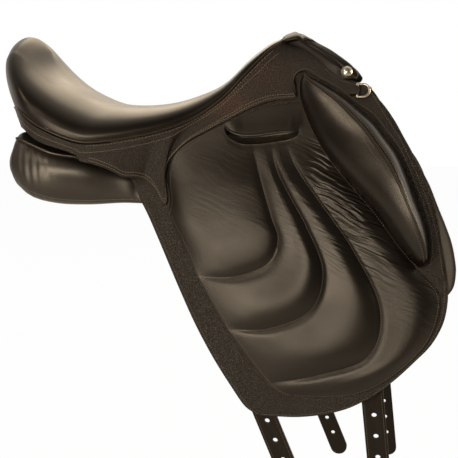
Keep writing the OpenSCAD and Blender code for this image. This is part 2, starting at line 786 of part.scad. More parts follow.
// Flap: x and z along its four edges
flap_top = [
    [30, 47], [60, 68], [110, 93], [150, 121], [180, 143], [206, 156], [240, 163], [280, 160.5], [313, 146]
];
flap_rear = [
    [30, 47], [42, 25], [51, 9], [63, -11], [82, -47], [104, -90], [126, -131], [149, -168], [172, -200],
    [188, -220], [203, -229]
];
flap_bottom = [[203, -229], [228, -229], [253, -227.5], [280, -222.5], [306, -214], [330, -201]];
flap_front = [
    [313, 146], [333, 127], [350, 104], [365, 78], [377, 57], [387, 36], [396, 12], [403, -20], [409, -50],
    [412, -72], [412.5, -92], [408, -115], [396, -138], [380, -156], [356, -180], [330, -201]
];
flap_cols = 10;
flap_rows = 12;
function side_point(p, lift) =
    let (x = long(p[0]), z = high(p[0], p[1])) [x, side_w(x, z) + lift, z];
function patch_sheet(top, bottom, rear, front, cols, rows, lift) = [
    for (j = [0:rows])
        [for (i = [0:cols]) side_point(patch(top, bottom, rear, front, i / cols, j / rows), lift)]
];
slot_x = long(200);
slot_z = high(200, 82.5);
slot_tilt = 4;
module slot_cut() {
    translate([slot_x, 0, slot_z]) rotate([90, -slot_tilt, 0]) mirror([0, 0, 1]) linear_extrude(flap_span) {
        square([slot_len - slot_high, slot_high], center = true);
        for (end = [-1, 1]) translate([end * (slot_len - slot_high) / 2, 0]) circle(d = slot_high);
    }
}
module flap() {
    difference() {
        slab(
            patch_sheet(flap_top, flap_bottom, flap_rear, flap_front, flap_cols, flap_rows, flap_thick),
            patch_sheet(flap_top, flap_bottom, flap_rear, flap_front, flap_cols, flap_rows, 0));
        slot_cut();
    }
}
module flap_right() {
    color(grained_leather) on_right() flap();
}
module flap_left() {
    color(grained_leather) flap();
}

// Quilted pad: nested J lines from the skirt's edge to the pad's rear edge; the middle three are sewn
pad_lines = [
    [[152, 101], [131, 89.5], [113, 79], [98, 67], [90.5, 57], [86.5, 44], [87, 30], [91.5, 14], [88, -3]],
    [[176, 113], [182, 88], [190, 60], [200, 30], [212, -4], [221, -30], [210, -57], [172, -73], [127, -76]],
    [[199, 122], [205, 90], [214, 54], [230, 24], [254, -15], [274, -62], [262, -106], [215, -129], [165, -134]],
    [[219, 125], [222, 95], [236, 57], [266, 16], [306, -36], [339, -100], [328, -153], [272, -178], [214, -192]],
    [[235, 126], [249, 93], [280, 49], [327, -3], [373, -57], [404, -88], [386, -143], [322, -194], [236, -205]]
];
pad_bands = len(pad_lines) - 1;
pad_across = 4;
pad_along = 18;
band_crown = [0.9, 1, 1, 0.6];
flat_above = 84;
fade_over = 56;
function pad_flat(i, f, t) = mix(along(pad_lines[i], t), along(pad_lines[i + 1], t), f);
function pad_lift(i, f, t) =
    pad_edge + pad_crown * band_crown[i] * pow(max(sin(180 * f), 0), 0.7)
    * ease((flat_above - pad_flat(i, f, t)[1]) / fade_over) * ease((1 - t) / 0.1);
function pad_sheet(full) = [
    for (j = [0:pad_along]) let (t = j / pad_along) [
        for (c = [0:pad_bands * pad_across])
            let (i = min(floor(c / pad_across), pad_bands - 1), f = c / pad_across - i)
            side_point(pad_flat(i, f, t), flap_thick + fit + full * pad_lift(i, f, t))
    ]
];
module flap_pad() {
    difference() {
        slab(pad_sheet(1), pad_sheet(0));
        slot_cut();
    }
}
module flap_pad_right() {
    color(smooth_leather) on_right() flap_pad();
}
module flap_pad_left() {
    color(smooth_leather) flap_pad();
}

// Rolled lip along the slot's upper edge
lip_lift = flap_thick + fit + pad_edge + fit + lip_r;
lip_count = 12;
function lip_point(t) =
    let (reach = slot_len / 2 + 2, u = mix(-reach, reach, t), curl = 5 * pow(2 * t - 1, 6))
    [
        slot_x + u * cos(slot_tilt), 0,
        slot_z + u * sin(slot_tilt) + slot_high / 2 + lip_r + curl
    ];
module slot_lip() {
    cord(
        [for (i = [0:lip_count]) let (p = lip_point(i / lip_count)) p + [0, side_w(p[0], p[2]) + lip_lift, 0]],
        lip_r, 8, [0, 1, 0]);
}
module slot_lip_right() {
    color(smooth_leather) on_right() slot_lip();
}
module slot_lip_left() {
    color(smooth_leather) slot_lip();
}

// Thigh block: rear and front foot on the flap, point for point, and the share of its full height
block_rear = [
    [239.5, 158], [237, 146], [240, 127], [247, 109], [255, 92], [268, 71], [283, 52], [300, 33], [316, 16],
    [331, 0], [348, -22], [361, -38], [372, -49], [379.5, -55]
];
block_front = [
    [244, 160.5], [253, 156], [272, 146], [293, 133], [312, 117.5], [326, 105], [339, 88.5], [352, 70.5],
    [363, 48], [373, 22.5], [380.5, 4.5], [387, -16], [390, -36], [387, -50]
];
block_share = [
    [0.1], [0.28], [0.44], [0.58], [0.7], [0.8], [0.88], [0.95], [1], [1], [0.95], [0.82], [0.56], [0.2]
];
block_rows = 16;
ridge_at = 0.82;
function bend(a, b, c, t) = mix(mix(a, b, t), mix(b, c, t), t);
// Share across the foot and share of the height, from the rear foot over the ridge to the front foot
function block_profile(u) =
    u < 0.6 ? bend([0, 0], [0.2, 0.8], [ridge_at, 1], u / 0.6) :
    bend([ridge_at, 1], [1, 0.94], [1, 0], (u - 0.6) / 0.4);
function block_point(t, d, h) =
    let (
        p = mix(along(block_rear, t), along(block_front, t), d), x = long(p[0]), z = high(p[0], p[1]))
    [x, over_flap(x, z) + h * block_high * along(block_share, t)[0], z];
block_steps = 9;
function block_sheet() = [
    for (i = [0:block_rows])
        [for (k = [0:block_steps]) let (q = block_profile(k / block_steps)) block_point(i / block_rows, q[0], q[1])]
];
function on_flap(grid) = [
    for (row = grid) [for (p = row) [p[0], max(p[1], over_flap(p[0], p[2])), p[2]]]
];
function block_inside(depth) = let (g = block_sheet()) on_flap(sunk(g, even_sheet(g, -depth)));
module thigh_block_cover() {
    slab(block_sheet(), block_inside(block_leather));
}
foam_first = 1;
welt_count = 20;
module thigh_block_foam() {
    inside = block_inside(block_leather + fit);
    loft([
        for (i = [foam_first:block_rows - 2])
            let (
                row = inside[i], a = row[0], b = row[block_steps],
                m = mix(a, b, 0.5), base = [m[0], over_flap(m[0], m[2]), m[2]])
            concat(row, [base])
    ]);
}
module thigh_block_welt() {
    cord(
        [
            for (i = [0:welt_count])
                block_point(mix(0.02, 0.95, i / welt_count), ridge_at, 1) + [0, block_welt_r + 2 * fit, 0]
        ],
        block_welt_r, 6, [0, 1, 0]);
}
module thigh_block_foam_right() {
    color(foam_cream) on_right() thigh_block_foam();
}
module thigh_block_foam_left() {
    color(foam_cream) thigh_block_foam();
}
module thigh_block_cover_right() {
    color(smooth_leather) on_right() thigh_block_cover();
}
module thigh_block_cover_left() {
    color(smooth_leather) thigh_block_cover();
}
module thigh_block_welt_right() {
    color(thread_tan) on_right() thigh_block_welt();
}
module thigh_block_welt_left() {
    color(thread_tan) thigh_block_welt();
}

// Panel sections along X: half width and z of the top outer, bottom outer, bottom inner, top inner corners
panel_rows = [
    [-121, 103, 66, 106, 44, 92, 42, 90, 64],
    [-112, 108, 81, 111, 31, 72, 25, 68, 80],
    [-92, 115, 75, 116, 14, 48, 22, 44, 82],
    [-60, 120, 64, 116, 5, 38, 24, 36, 80],
    [-20, 113, 58, 111, 3, 35, 29, 34, 79],
    [30, 98, 50, 106, 5, 36, 40, 35, 80],
    [80, 97, 44, 110, 2, 39, 52, 37, 84],
    [140, 98, 54, 117, -10, 44, 66, 41, 88],
    [200, 92, 66, 121, -22, 49, 76, 45, 92],
    [260, 88, 76, 124, -28, 56, 80, 50, 94],
    [310, 90, 68, 122, -12, 70, 66, 64, 86],
    [335, 94, 58, 110, 14, 90, 50, 87, 64]
];
panel_count = 22;
panel_sides = 16;
// Behind the flap the panel is free to stand out
rear_free = 44;
function corner(r, k) = [r[1 + 2 * k], r[2 + 2 * k]];
function bulged(a, b, by) = let (d = unit(b - a)) (a + b) / 2 + by * [-d[1], d[0]];
function panel_ring(r) =
    let (
        small = min(norm(corner(r, 0) - corner(r, 2)) / 60, 1),
        by = panel_bulge * small,
        control = [
            for (k = [0:3]) each [corner(r, k), bulged(corner(r, k), corner(r, (k + 1) % 4), k == 2 ? 0 : by)]
        ])
    [
        for (i = [0:panel_sides - 1])
            let (
                q = closed_at(control, i / panel_sides), x = long(r[0]), z = high(r[0], q[1]),
                w = min(wide(q[0]), under_web(x, z) + rear_free * ease((long(24) - x) / 50)))
            [x, w, z]
    ];
function panel_x(t) = mix(panel_rows[0][0], panel_rows[len(panel_rows) - 1][0], t);
module panel() {
    loft([
        for (i = [0:panel_count])
            panel_ring(row_at(panel_rows, panel_x(0.5 - 0.5 * cos(180 * i / panel_count))))
    ]);
}
module panel_right() {
    color(smooth_leather) on_right() panel();
}
module panel_left() {
    color(smooth_leather) panel();
}

// Piping along the panel's top outer edge behind the flap
panel_welt_run = [-113, 30];
panel_welt_count = 16;
module panel_welt() {
    off = panel_welt_r + fit;
    cord(
        [
            for (i = [0:panel_welt_count])
                let (
                    x = mix(panel_welt_run[0], panel_welt_run[1], i / panel_welt_count),
                    q = corner(row_at(panel_rows, x), 0))
                [long(x), wide(q[0]) + off * 0.8, high(x, q[1]) + off * 0.75]
        ],
        panel_welt_r, 6, [0, 0, 1]);
}
module panel_welt_right() {
    color(smooth_leather) on_right() panel_welt();
}
module panel_welt_left() {
    color(smooth_leather) panel_welt();
}

// Front wing of the panel, inside the flap and past its front edge
wing_top = [[92, 50], [160, 60], [230, 68], [296, 76], [346, 82]];
wing_front = [
    [346, 82], [363, 72], [378, 56], [390, 36], [400, 12], [409, -9], [416, -28], [420, -47], [421, -60],
    [418.5, -76], [410, -88]
];
wing_rear = [[92, 50], [88, 20], [98, -10], [122, -50]];
wing_bottom = [[122, -50], [180, -84], [260, -104], [340, -106], [410, -88]];
wing_cols = 9;
wing_rows = 9;
module panel_wing() {
    slab(
        patch_sheet(wing_top, wing_bottom, wing_rear, wing_front, wing_cols, wing_rows, -fit),
        patch_sheet(wing_top, wing_bottom, wing_rear, wing_front, wing_cols, wing_rows, -fit - wing_thick));
}
module panel_wing_right() {
    color(under_leather) on_right() panel_wing();
}
module panel_wing_left() {
    color(under_leather) panel_wing();
}

// Girth straps hang from webs that run down inside the flap; x and z of a web's top and of the hinge
web_front_top = [long(306), high(306, 40)];
web_front_end = [long(329), high(329, -166)];
web_rear_top = [long(104), high(104, 20)];
web_rear_end = [long(190), high(190, -186)];
function web_slant(top, end) = atan((end[0] - top[0]) / (top[1] - end[1]));
function hinge_point(end) =
    [end[0], under_wing(end[0], end[1]) - girth_web_thick / 2, end[1]];
web_count = 8;
module girth_web(top, end) {
    slant = web_slant(top, end);
    run = [sin(slant), -cos(slant)];
    reach = norm(end - top) - billet_thick / 2 - fit;
    side_step = billet_wide / 2 * [cos(slant), sin(slant)];
    rows = [
        for (i = [0:web_count]) let (c = top + run * reach * i / web_count) [c - side_step, c, c + side_step]
    ];
    slab(
        [for (row = rows) [for (p = row) [p[0], under_wing(p[0], p[1]), p[1]]]],
        [for (row = rows) [for (p = row) [p[0], under_wing(p[0], p[1]) - girth_web_thick, p[1]]]]);
}
module girth_webs() {
    girth_web(web_front_top, web_front_end);
    girth_web(web_rear_top, web_rear_end);
}
module girth_web_right() {
    color(web_grey) on_right() girth_webs();
}
module girth_web_left() {
    color(web_grey) girth_webs();
}

module billet(end, slant) {
    translate(hinge_point(end)) rotate([0, -slant, 0])
    difference() {
        union() {
            translate([-billet_wide / 2, 0, 0]) rotate([0, 90, 0]) cylinder(d = billet_thick, h = billet_wide);
            translate([0, billet_thick / 2, 0]) rotate([90, 0, 0]) linear_extrude(billet_thick) {
                translate([-billet_wide / 2, -billet_len + billet_wide / 2])
                square([billet_wide, billet_len - billet_wide / 2]);
                translate([0, -billet_len + billet_wide / 2]) circle(d = billet_wide);
            }
        }
        for (i = [0:hole_count - 1]) {
            translate([0, -billet_thick, -billet_len + hole_first + i * hole_pitch]) rotate([-90, 0, 0])
            cylinder(d = hole_d, h = 2 * billet_thick);
        }
    }
}
module billet_front() {
    billet(web_front_end, web_slant(web_front_top, web_front_end));
}
module billet_rear() {
    billet(web_rear_end, web_slant(web_rear_top, web_rear_end));
}
module billet_front_right() {
    color(smooth_leather) on_right() billet_front();
}
module billet_front_left() {
    color(smooth_leather) billet_front();
}
module billet_rear_right() {
    color(smooth_leather) on_right() billet_rear();
}
module billet_rear_left() {
    color(smooth_leather) billet_rear();
}

seat_cover();
seat_foam();
seat_web();
seat_welt();
tree();
tree_springs();
tree_rivets();
head_plate();
stirrup_bar_right();
stirrup_bar_left();
stirrup_catch_right();
stirrup_catch_left();
catch_pins();
bar_rivets();
skirt_right();
skirt_left();
rear_facing();
pommel_cover();
pommel_pad();
pommel_studs();
dee_chape_right();
dee_chape_left();
dee_ring_right();
dee_ring_left();
flap_right();
flap_left();
flap_pad_right();
flap_pad_left();
slot_lip_right();
slot_lip_left();
thigh_block_foam_right();
thigh_block_foam_left();
thigh_block_cover_right();
thigh_block_cover_left();
thigh_block_welt_right();
thigh_block_welt_left();
panel_right();
panel_left();
panel_welt_right();
panel_welt_left();
panel_wing_right();
panel_wing_left();
girth_web_right();
girth_web_left();
billet_front_right();
billet_front_left();
billet_rear_right();
billet_rear_left();
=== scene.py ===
import json
import math
from contextlib import contextmanager
import bpy
import numpy as np
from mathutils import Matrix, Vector

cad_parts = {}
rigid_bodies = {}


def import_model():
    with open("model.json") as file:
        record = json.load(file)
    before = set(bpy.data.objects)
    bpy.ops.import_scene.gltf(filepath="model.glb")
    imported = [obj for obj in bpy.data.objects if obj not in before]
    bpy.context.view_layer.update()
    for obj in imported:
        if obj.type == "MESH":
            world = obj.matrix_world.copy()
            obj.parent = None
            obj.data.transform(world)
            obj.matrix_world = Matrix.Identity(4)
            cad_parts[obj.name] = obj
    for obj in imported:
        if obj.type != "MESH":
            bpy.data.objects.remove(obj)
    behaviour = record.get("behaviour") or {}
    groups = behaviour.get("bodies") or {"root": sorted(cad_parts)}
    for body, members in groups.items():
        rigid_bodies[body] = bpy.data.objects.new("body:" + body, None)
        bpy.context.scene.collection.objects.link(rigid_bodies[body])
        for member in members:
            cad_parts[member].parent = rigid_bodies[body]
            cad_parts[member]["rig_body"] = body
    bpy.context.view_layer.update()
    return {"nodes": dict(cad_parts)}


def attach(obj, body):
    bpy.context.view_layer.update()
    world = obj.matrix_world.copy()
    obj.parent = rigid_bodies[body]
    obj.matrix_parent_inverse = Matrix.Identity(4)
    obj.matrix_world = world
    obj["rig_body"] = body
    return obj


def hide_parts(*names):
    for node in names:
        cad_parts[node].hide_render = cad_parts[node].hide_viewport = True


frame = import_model()
mm = 0.001
weldReach = 0.02 * mm  # points of a grid that are closer than this are one
print("frame loaded with", len(frame["nodes"]), "nodes")

# the photographer stood a little ahead of the saddle's middle and a little above it
cameraSet = dict(place=(0.344196, -1.118461, 0.12849), aim=(0.1367, 0, -0.0403), lens=67.61, sensor=36)


def aimAt(thing, place, aim):
    thing.location = place
    thing.rotation_euler = (Vector(aim) - Vector(place)).to_track_quat("-Z", "Y").to_euler()


bpy.ops.object.select_all(action="DESELECT")
bpy.ops.object.camera_add()
camera = bpy.context.object
aimAt(camera, cameraSet["place"], cameraSet["aim"])
camera.data.lens, camera.data.sensor_width = cameraSet["lens"], cameraSet["sensor"]
bpy.context.scene.camera = camera
bpy.context.scene.view_settings.view_transform = "Standard"


# small helpers for shader nodes
def feed(tree, node, inputs):
    for key, value in inputs.items():
        if isinstance(value, bpy.types.NodeSocket):
            tree.links.new(value, node.inputs[key])
        else:
            node.inputs[key].default_value = value


def setAll(thing, settings):
    for key, value in settings.items():
        setattr(thing, key, value)


def addNode(tree, kind, inputs=None, **settings):
    made = tree.nodes.new("ShaderNode" + kind)
    setAll(made, settings)
    feed(tree, made, inputs or {})
    return made


def mathNode(tree, how, *values):
    return addNode(tree, "Math", dict(enumerate(values)), operation=how).outputs[0]


def noiseNode(tree, place, scale, detail, rough=0.5, give="Fac"):
    inputs = {"Vector": place, "Scale": scale, "Detail": detail, "Roughness": rough}
    return addNode(tree, "TexNoise", inputs).outputs[give]


def remap(tree, value, span, ends=(0.0, 1.0), **settings):
    inputs = dict(zip(("Value", "From Min", "From Max", "To Min", "To Max"), (value, *span, *ends)))
    return addNode(tree, "MapRange", inputs, **settings).outputs[0]


def bumpNode(tree, height, look, **more):
    inputs = {"Height": height, "Strength": look["bump"], "Distance": look["depth"], **more}
    return addNode(tree, "Bump", inputs).outputs[0]


def mixColour(tree, factor, a, b):
    tones = {at: value if isinstance(value, bpy.types.NodeSocket) else (*value, 1.0) for at, value in ((6, a), (7, b))}
    return addNode(tree, "Mix", {0: factor, **tones}, data_type="RGBA").outputs[2]


# object coordinates, and the same drifting by a noise of some scale and detail
def bentPlace(tree, scale, detail, reach):
    place = addNode(tree, "TexCoord").outputs["Object"]
    drift = noiseNode(tree, place, scale, detail, give="Color")
    moved = addNode(tree, "VectorMath", {0: drift, "Scale": reach}, operation="SCALE").outputs[0]
    return place, addNode(tree, "VectorMath", {0: place, 1: moved}, operation="ADD").outputs[0]


def newGroup(name, inputs, outputs):
    tree = bpy.data.node_groups.new(name, "ShaderNodeTree")
    for label, value in inputs.items():
        kind = "NodeSocketVector" if isinstance(value, tuple) else "NodeSocketFloat"
        tree.interface.new_socket(label, in_out="INPUT", socket_type=kind).default_value = value
    for label in outputs:
        tree.interface.new_socket(label, in_out="OUTPUT", socket_type="NodeSocketFloat")
    return tree, tree.nodes.new("NodeGroupInput").outputs, tree.nodes.new("NodeGroupOutput")


# pebbled grain: fine cells with creases between them, and a slow unevenness
grainSet = dict(
    cells=700, creases=60, warp=(260, 2, 0.0016), blotch=(14, 3),
    creaseDetail=(6, 0.62), creaseShare=0.35, cellSpan=(0, 0.7), blotchSpan=(0.3, 0.7))


def makeGrainGroup():
    tree, given, out = newGroup("leatherGrain", {"Cells": grainSet["cells"], "Creases": grainSet["creases"]},
                                ("Height", "Tone", "Blotch"))
    place, bent = bentPlace(tree, *grainSet["warp"])
    cells = addNode(tree, "TexVoronoi", {"Vector": bent, "Scale": given["Cells"]}, feature="SMOOTH_F1")
    creases = noiseNode(tree, bent, given["Creases"], *grainSet["creaseDetail"])
    dome = mathNode(tree, "SUBTRACT", 1.0, cells.outputs["Distance"])
    feed(tree, out, {"Height": mathNode(tree, "MULTIPLY_ADD", creases, grainSet["creaseShare"], dome),
                     "Tone": remap(tree, cells.outputs["Distance"], grainSet["cellSpan"], (1.0, 0.0)),
                     "Blotch": noiseNode(tree, place, *grainSet["blotch"])})
    return tree


# worn creases: short broken lines, as deep as the piece's own folds mask says
foldSet = dict(
    warp=(26, 1, 0.012), stretch=(0.032, 0.032, 0.0036), lines=(1, 1, 0.4), lineSpan=(0.3, 0.7),
    bump=0.9, depth=0.0018)


def makeFoldGroup():
    tree, given, out = newGroup("leatherFolds", {"Turn": (0.0, 0.0, 0.0)}, ["Height"])
    place, bent = bentPlace(tree, *foldSet["warp"])
    turned = addNode(tree, "Mapping", {"Vector": bent, "Rotation": given["Turn"], "Scale": foldSet["stretch"]},
                     vector_type="TEXTURE").outputs[0]
    lines = noiseNode(tree, turned, *foldSet["lines"])
    sharp = remap(tree, lines, foldSet["lineSpan"], interpolation_type="SMOOTHSTEP")
    mask = addNode(tree, "Attribute", attribute_name="folds").outputs["Fac"]
    feed(tree, out, {"Height": mathNode(tree, "MULTIPLY", sharp, mask)})
    return tree


grainGroup = makeGrainGroup()
foldGroup = makeFoldGroup()
finishes = {}


def newMaterial(name):
    finishes[name] = bpy.data.materials.new(name)
    finishes[name].use_nodes = True
    tree = finishes[name].node_tree
    return tree, tree.nodes["Principled BSDF"]


# leather in its finishes: colours are dark and light brown, rough is the least and most roughness, depth is in m;
# each finish lists only what differs from the plain one
leatherPlain = dict(
    dark=(0.003, 0.0022, 0.0015), light=(0.0085, 0.0055, 0.0032), rough=(0.25, 0.36), cells=1500,
    creases=90, bump=0.06, depth=0.0004, shine=0.3,
    tint=(1, 0.89, 0.75, 1))  # the brown dressing on the leather warms what it mirrors
leatherSet = dict(
    smoothLeather=dict(),
    seatLeather=dict(dark=(0.0032, 0.0023, 0.0016), light=(0.0095, 0.0061, 0.0036), rough=(0.26, 0.36),
        creases=60, bump=0.04, shine=0.26),
    grainedLeather=dict(dark=(0.0032, 0.0022, 0.0015), light=(0.0105, 0.0066, 0.004), rough=(0.32, 0.46),
        # the reddish tone on the skirts is a painted reflection, laid on where their mask says
        cells=1300, creases=620, bump=0.9, depth=0.0007, paintedReflectionTone=(0.03, 0.0105, 0.005)),
    padLeather=dict(rough=(0.3, 0.42), cells=1300, creases=180, bump=0.16, shine=0.34, folds=24),
    blockLeather=dict(rough=(0.22, 0.32), bump=0.05, shine=0.36),
    pommelLeather=dict(rough=(0.4, 0.52), shine=0.22),
    panelLeather=dict(dark=(0.0032, 0.0023, 0.0016), light=(0.0085, 0.0056, 0.0035), rough=(0.32, 0.44),
        cells=1300, creases=50, depth=0.0005, shine=0.6),
    underLeather=dict(dark=(0.0062, 0.0045, 0.0032), light=(0.016, 0.0112, 0.0074), rough=(0.42, 0.58),
        cells=900, bump=0.16, depth=0.0005, shine=0.16),
    # light tan on the cut edges of sheets and straps, a painted highlight along the edges
    edgeHighlightLeather=dict(dark=(0.022, 0.0138, 0.008), light=(0.075, 0.047, 0.026), rough=(0.4, 0.55),
        cells=900, creases=220, bump=0.12, shine=0.22),
    pipingLeather=dict(dark=(0.012, 0.0085, 0.0056), light=(0.04, 0.027, 0.016), rough=(0.16, 0.24),
        cells=1300, creases=120, bump=0.05, shine=0.5),
    weltLeather=dict(dark=(0.01, 0.007, 0.0046), light=(0.034, 0.0225, 0.0132), rough=(0.28, 0.42),
        cells=1300, creases=300, bump=0.1, shine=0.26))


def makeLeather(name, look):
    tree, skin = newMaterial(name)
    grain = addNode(tree, "Group", {"Cells": look["cells"], "Creases": look["creases"]}, node_tree=grainGroup).outputs
    colour = mixColour(tree, mathNode(tree, "MULTIPLY", grain["Blotch"], grain["Tone"]), look["dark"], look["light"])
    # a painted reddish reflection, mixed into the colour where the piece's mask is
    if "paintedReflectionTone" in look:
        rub = addNode(tree, "Attribute", attribute_name="rub").outputs["Fac"]
        colour = mixColour(tree, rub, colour, look["paintedReflectionTone"])
    rough = remap(tree, grain["Blotch"], grainSet["blotchSpan"], look["rough"])
    bump = bumpNode(tree, grain["Height"], look)
    if "folds" in look:
        turn = (0, math.radians(look["folds"]), 0)
        folds = addNode(tree, "Group", {"Turn": turn}, node_tree=foldGroup).outputs["Height"]
        bump = bumpNode(tree, folds, foldSet, Normal=bump)
    feed(tree, skin, {"Base Color": colour, "Roughness": rough, "Normal": bump,
                      "Specular IOR Level": look["shine"], "Specular Tint": look["tint"]})


for name, look in leatherSet.items():
    makeLeather(name, {**leatherPlain, **look})
print("leather finishes made")

# finishes of the hard and the hidden pieces
plainBase = dict(metal=0, fine=4, slow=(40, 2), shade=0.72, depth=0.0003)
plainSet = dict(
    silverMetal=dict(colour=(0.5, 0.46, 0.38), metal=1, rough=(0.26, 0.38), scale=900, bump=0.03),
    barSteel=dict(colour=(0.4, 0.4, 0.41), metal=1, rough=(0.3, 0.45), scale=500, bump=0.06),
    birchPly=dict(colour=(0.5, 0.34, 0.19), rough=(0.45, 0.6), scale=160, bump=0.08),
    creamFoam=dict(colour=(0.62, 0.55, 0.38), rough=(0.8, 0.95), scale=1400, bump=0.3),
    greyFelt=dict(colour=(0.16, 0.15, 0.14), rough=(0.85, 0.95), scale=1800, bump=0.35),
    girthWebbing=dict(colour=(0.3, 0.27, 0.21), rough=(0.75, 0.9), scale=1100, bump=0.3),
    darkThread=dict(colour=(0.085, 0.06, 0.038), rough=(0.5, 0.65), scale=2500, bump=0.2),
    tanThread=dict(colour=(0.17, 0.122, 0.078), rough=(0.5, 0.65), scale=2500, bump=0.2))


def makePlain(name, look):
    tree, skin = newMaterial(name)
    place = addNode(tree, "TexCoord").outputs["Object"]
    spots = noiseNode(tree, place, look["scale"], look["fine"])
    slow = noiseNode(tree, place, *look["slow"])
    colour = mixColour(tree, slow, [c * look["shade"] for c in look["colour"]], look["colour"])
    rough = remap(tree, slow, grainSet["blotchSpan"], look["rough"])
    feed(tree, skin, {"Base Color": colour, "Roughness": rough, "Normal": bumpNode(tree, spots, look),
                      "Metallic": look["metal"]})


for name, look in plainSet.items():
    makePlain(name, {**plainBase, **look})
print("plain finishes made")


# curves through points, as the saddle is drawn
def cubic(a, b, c, d, f):
    return 0.5 * (2 * b + (c - a) * f + (2 * a - 5 * b + 4 * c - d) * f ** 2 + (3 * b - a - 3 * c + d) * f ** 3)


def spanOf(t, count):
    s = held(t) * count
    i = np.minimum(s.astype(int), count - 1)
    return i, (s - i)[..., None]


def through(points, i, f):
    ends = np.vstack([2 * points[0] - points[1], points, 2 * points[-1] - points[-2]])
    return cubic(*(ends[i + k] for k in range(4)), f)


def spline(points, t):
    return through(np.asarray(points, float), *spanOf(np.asarray(t, float), len(points) - 1))


def tableAt(rows, x):
    tab = np.asarray(rows, float)
    i = np.clip(np.searchsorted(tab[:, 0], x, side="left") - 1, 0, len(tab) - 2)
    return through(tab, i, ((x - tab[i, 0]) / (tab[i + 1, 0] - tab[i, 0]))[..., None])


def held(t):
    return np.clip(t, 0, 1)


def ease(t):
    c = held(t)
    return c * c * (3 - 2 * c)


def ramp(x, start, run):
    return ease((x - start) / run)


def bell(x, middle, wide):
    return np.exp(-((x - middle) / wide) ** 2)


def mix(a, b, t):
    return a + (b - a) * t


def unit(v):
    return v / np.maximum(np.linalg.norm(v, axis=-1, keepdims=True), 1e-9)


def columns(*parts):
    return np.stack(parts, axis=-1)


def patchAt(look, u, v):
    top, bottom, rear, front = (look[edge] for edge in ("top", "bottom", "rear", "front"))
    uu, vv = u[:, None], v[:, None]
    corner = [np.asarray(p, float) for p in (top[0], top[-1], bottom[0], bottom[-1])]
    return (mix(spline(top, u), spline(bottom, u), vv) + mix(spline(rear, v), spline(front, v), uu)
            - mix(mix(corner[0], corner[1], uu), mix(corner[2], corner[3], uu), vv))


def lengths(path):
    return np.concatenate([[0], np.cumsum(np.linalg.norm(np.diff(path, axis=0), axis=1))])


def along(path, run, at):
    return columns(*(np.interp(at, run, path[:, k]) for k in range(3)))


# the horse's side that flaps, skirts and blocks lie on, in mm
sideSet = dict(span=252, slope=0.29, curve=0.00032, toe=0.04, middle=191, rollFrom=170, roll=0.012)
gapSet = dict(fit=0.3, flap=3, skirt=2.4, wing=3, web=2, back=0.05)


def sideWidth(x, z):
    s = sideSet
    return (s["span"] / 2 - s["slope"] * z - s["curve"] * z * z + s["toe"] * (x - s["middle"])
            - s["roll"] * np.maximum(0, z - s["rollFrom"]) ** 2)


def overFlap(x, z):
    return sideWidth(x, z) + gapSet["flap"] + gapSet["fit"]


def onRight(xz, w):
    return columns(xz[:, 0], -w, xz[:, 1])


# makes one piece the active one
def takeUp(piece, *others):
    bpy.ops.object.select_all(action="DESELECT")
    for one in (piece, *others):
        one.select_set(True)
    bpy.context.view_layer.objects.active = piece


@contextmanager
def editing(piece, action="SELECT"):
    takeUp(piece)
    bpy.ops.object.mode_set(mode="EDIT")
    bpy.ops.mesh.select_all(action=action)
    yield
    bpy.ops.object.mode_set(mode="OBJECT")


def normalsOut():
    bpy.ops.mesh.select_all(action="SELECT")
    bpy.ops.mesh.normals_make_consistent(inside=False)


def turnTo(piece, outward):
    if sum(p.normal.dot(Vector(outward)) * p.area for p in piece.data.polygons) < 0:
        with editing(piece):
            bpy.ops.mesh.flip_normals()


# open rims of a piece are closed by one mesh step
def closeRims(piece, step):
    with editing(piece):
        bpy.ops.mesh.select_mode(type="EDGE")
        bpy.ops.mesh.select_all(action="DESELECT")
        bpy.ops.mesh.select_non_manifold()
        step()
        normalsOut()


def newPiece(name, mesh):
    piece = bpy.data.objects.new(name, mesh)
    piece.data.name = name
    bpy.context.scene.collection.objects.link(piece)
    return piece


def pointsOf(piece):
    flat = np.empty(len(piece.data.vertices) * 3)
    piece.data.vertices.foreach_get("co", flat)
    return flat.reshape(-1, 3)


def setPoints(piece, place):
    piece.data.vertices.foreach_set("co", place.ravel())
    piece.data.update()


# a flat grid that is moved point by point onto its surface; shape takes u and v from 0 to 1 and gives mm
def gridPiece(name, look, shape, outward=(0, -1, 0), weld=False):
    bpy.ops.object.select_all(action="DESELECT")
    bpy.ops.mesh.primitive_grid_add(x_subdivisions=look["across"], y_subdivisions=look["down"], size=1)
    piece = bpy.context.object
    piece.name = piece.data.name = name
    u, v = held(pointsOf(piece)[:, :2] + 0.5).T
    setPoints(piece, shape(u, v) * mm)
    if weld:
        with editing(piece):
            bpy.ops.mesh.remove_doubles(threshold=weldReach)
            normalsOut()
    else:
        turnTo(piece, outward)
    return piece


def applyModifier(piece, kind, **settings):
    takeUp(piece)
    made = piece.modifiers.new(kind.title(), kind)
    setAll(made, settings)
    bpy.ops.object.modifier_apply(modifier=made.name)


def roundEdges(piece, width, segments=3, angle=50):
    applyModifier(piece, "BEVEL", width=width * mm, segments=segments, limit_method="ANGLE",
                  angle_limit=math.radians(angle))


# a soft mask on a piece's points, from x, z, their reaches in mm and a strength for each place
def paintMask(piece, name, places):
    x, _, z = pointsOf(piece).T / mm
    mask = np.zeros(len(x))
    for px, pz, rx, rz, deep in places:
        mask = np.maximum(mask, deep * np.exp(-((x - px) / rx) ** 2 - ((z - pz) / rz) ** 2))
    piece.data.attributes.new(name, "FLOAT", "POINT").data.foreach_set("value", mask)


# a leather sheet gets its thickness inwards, a rim of its own finish and softly rounded edges; where that finish is the
# light edge leather, the rim is a painted highlight along the cut edges
def thicken(piece, thickness, rounding, rim=True):
    for _ in range(2):
        piece.data.materials.append(None)
    applyModifier(piece, "SOLIDIFY", thickness=thickness * mm, offset=-1, material_offset_rim=int(rim))
    if rounding:
        roundEdges(piece, rounding)


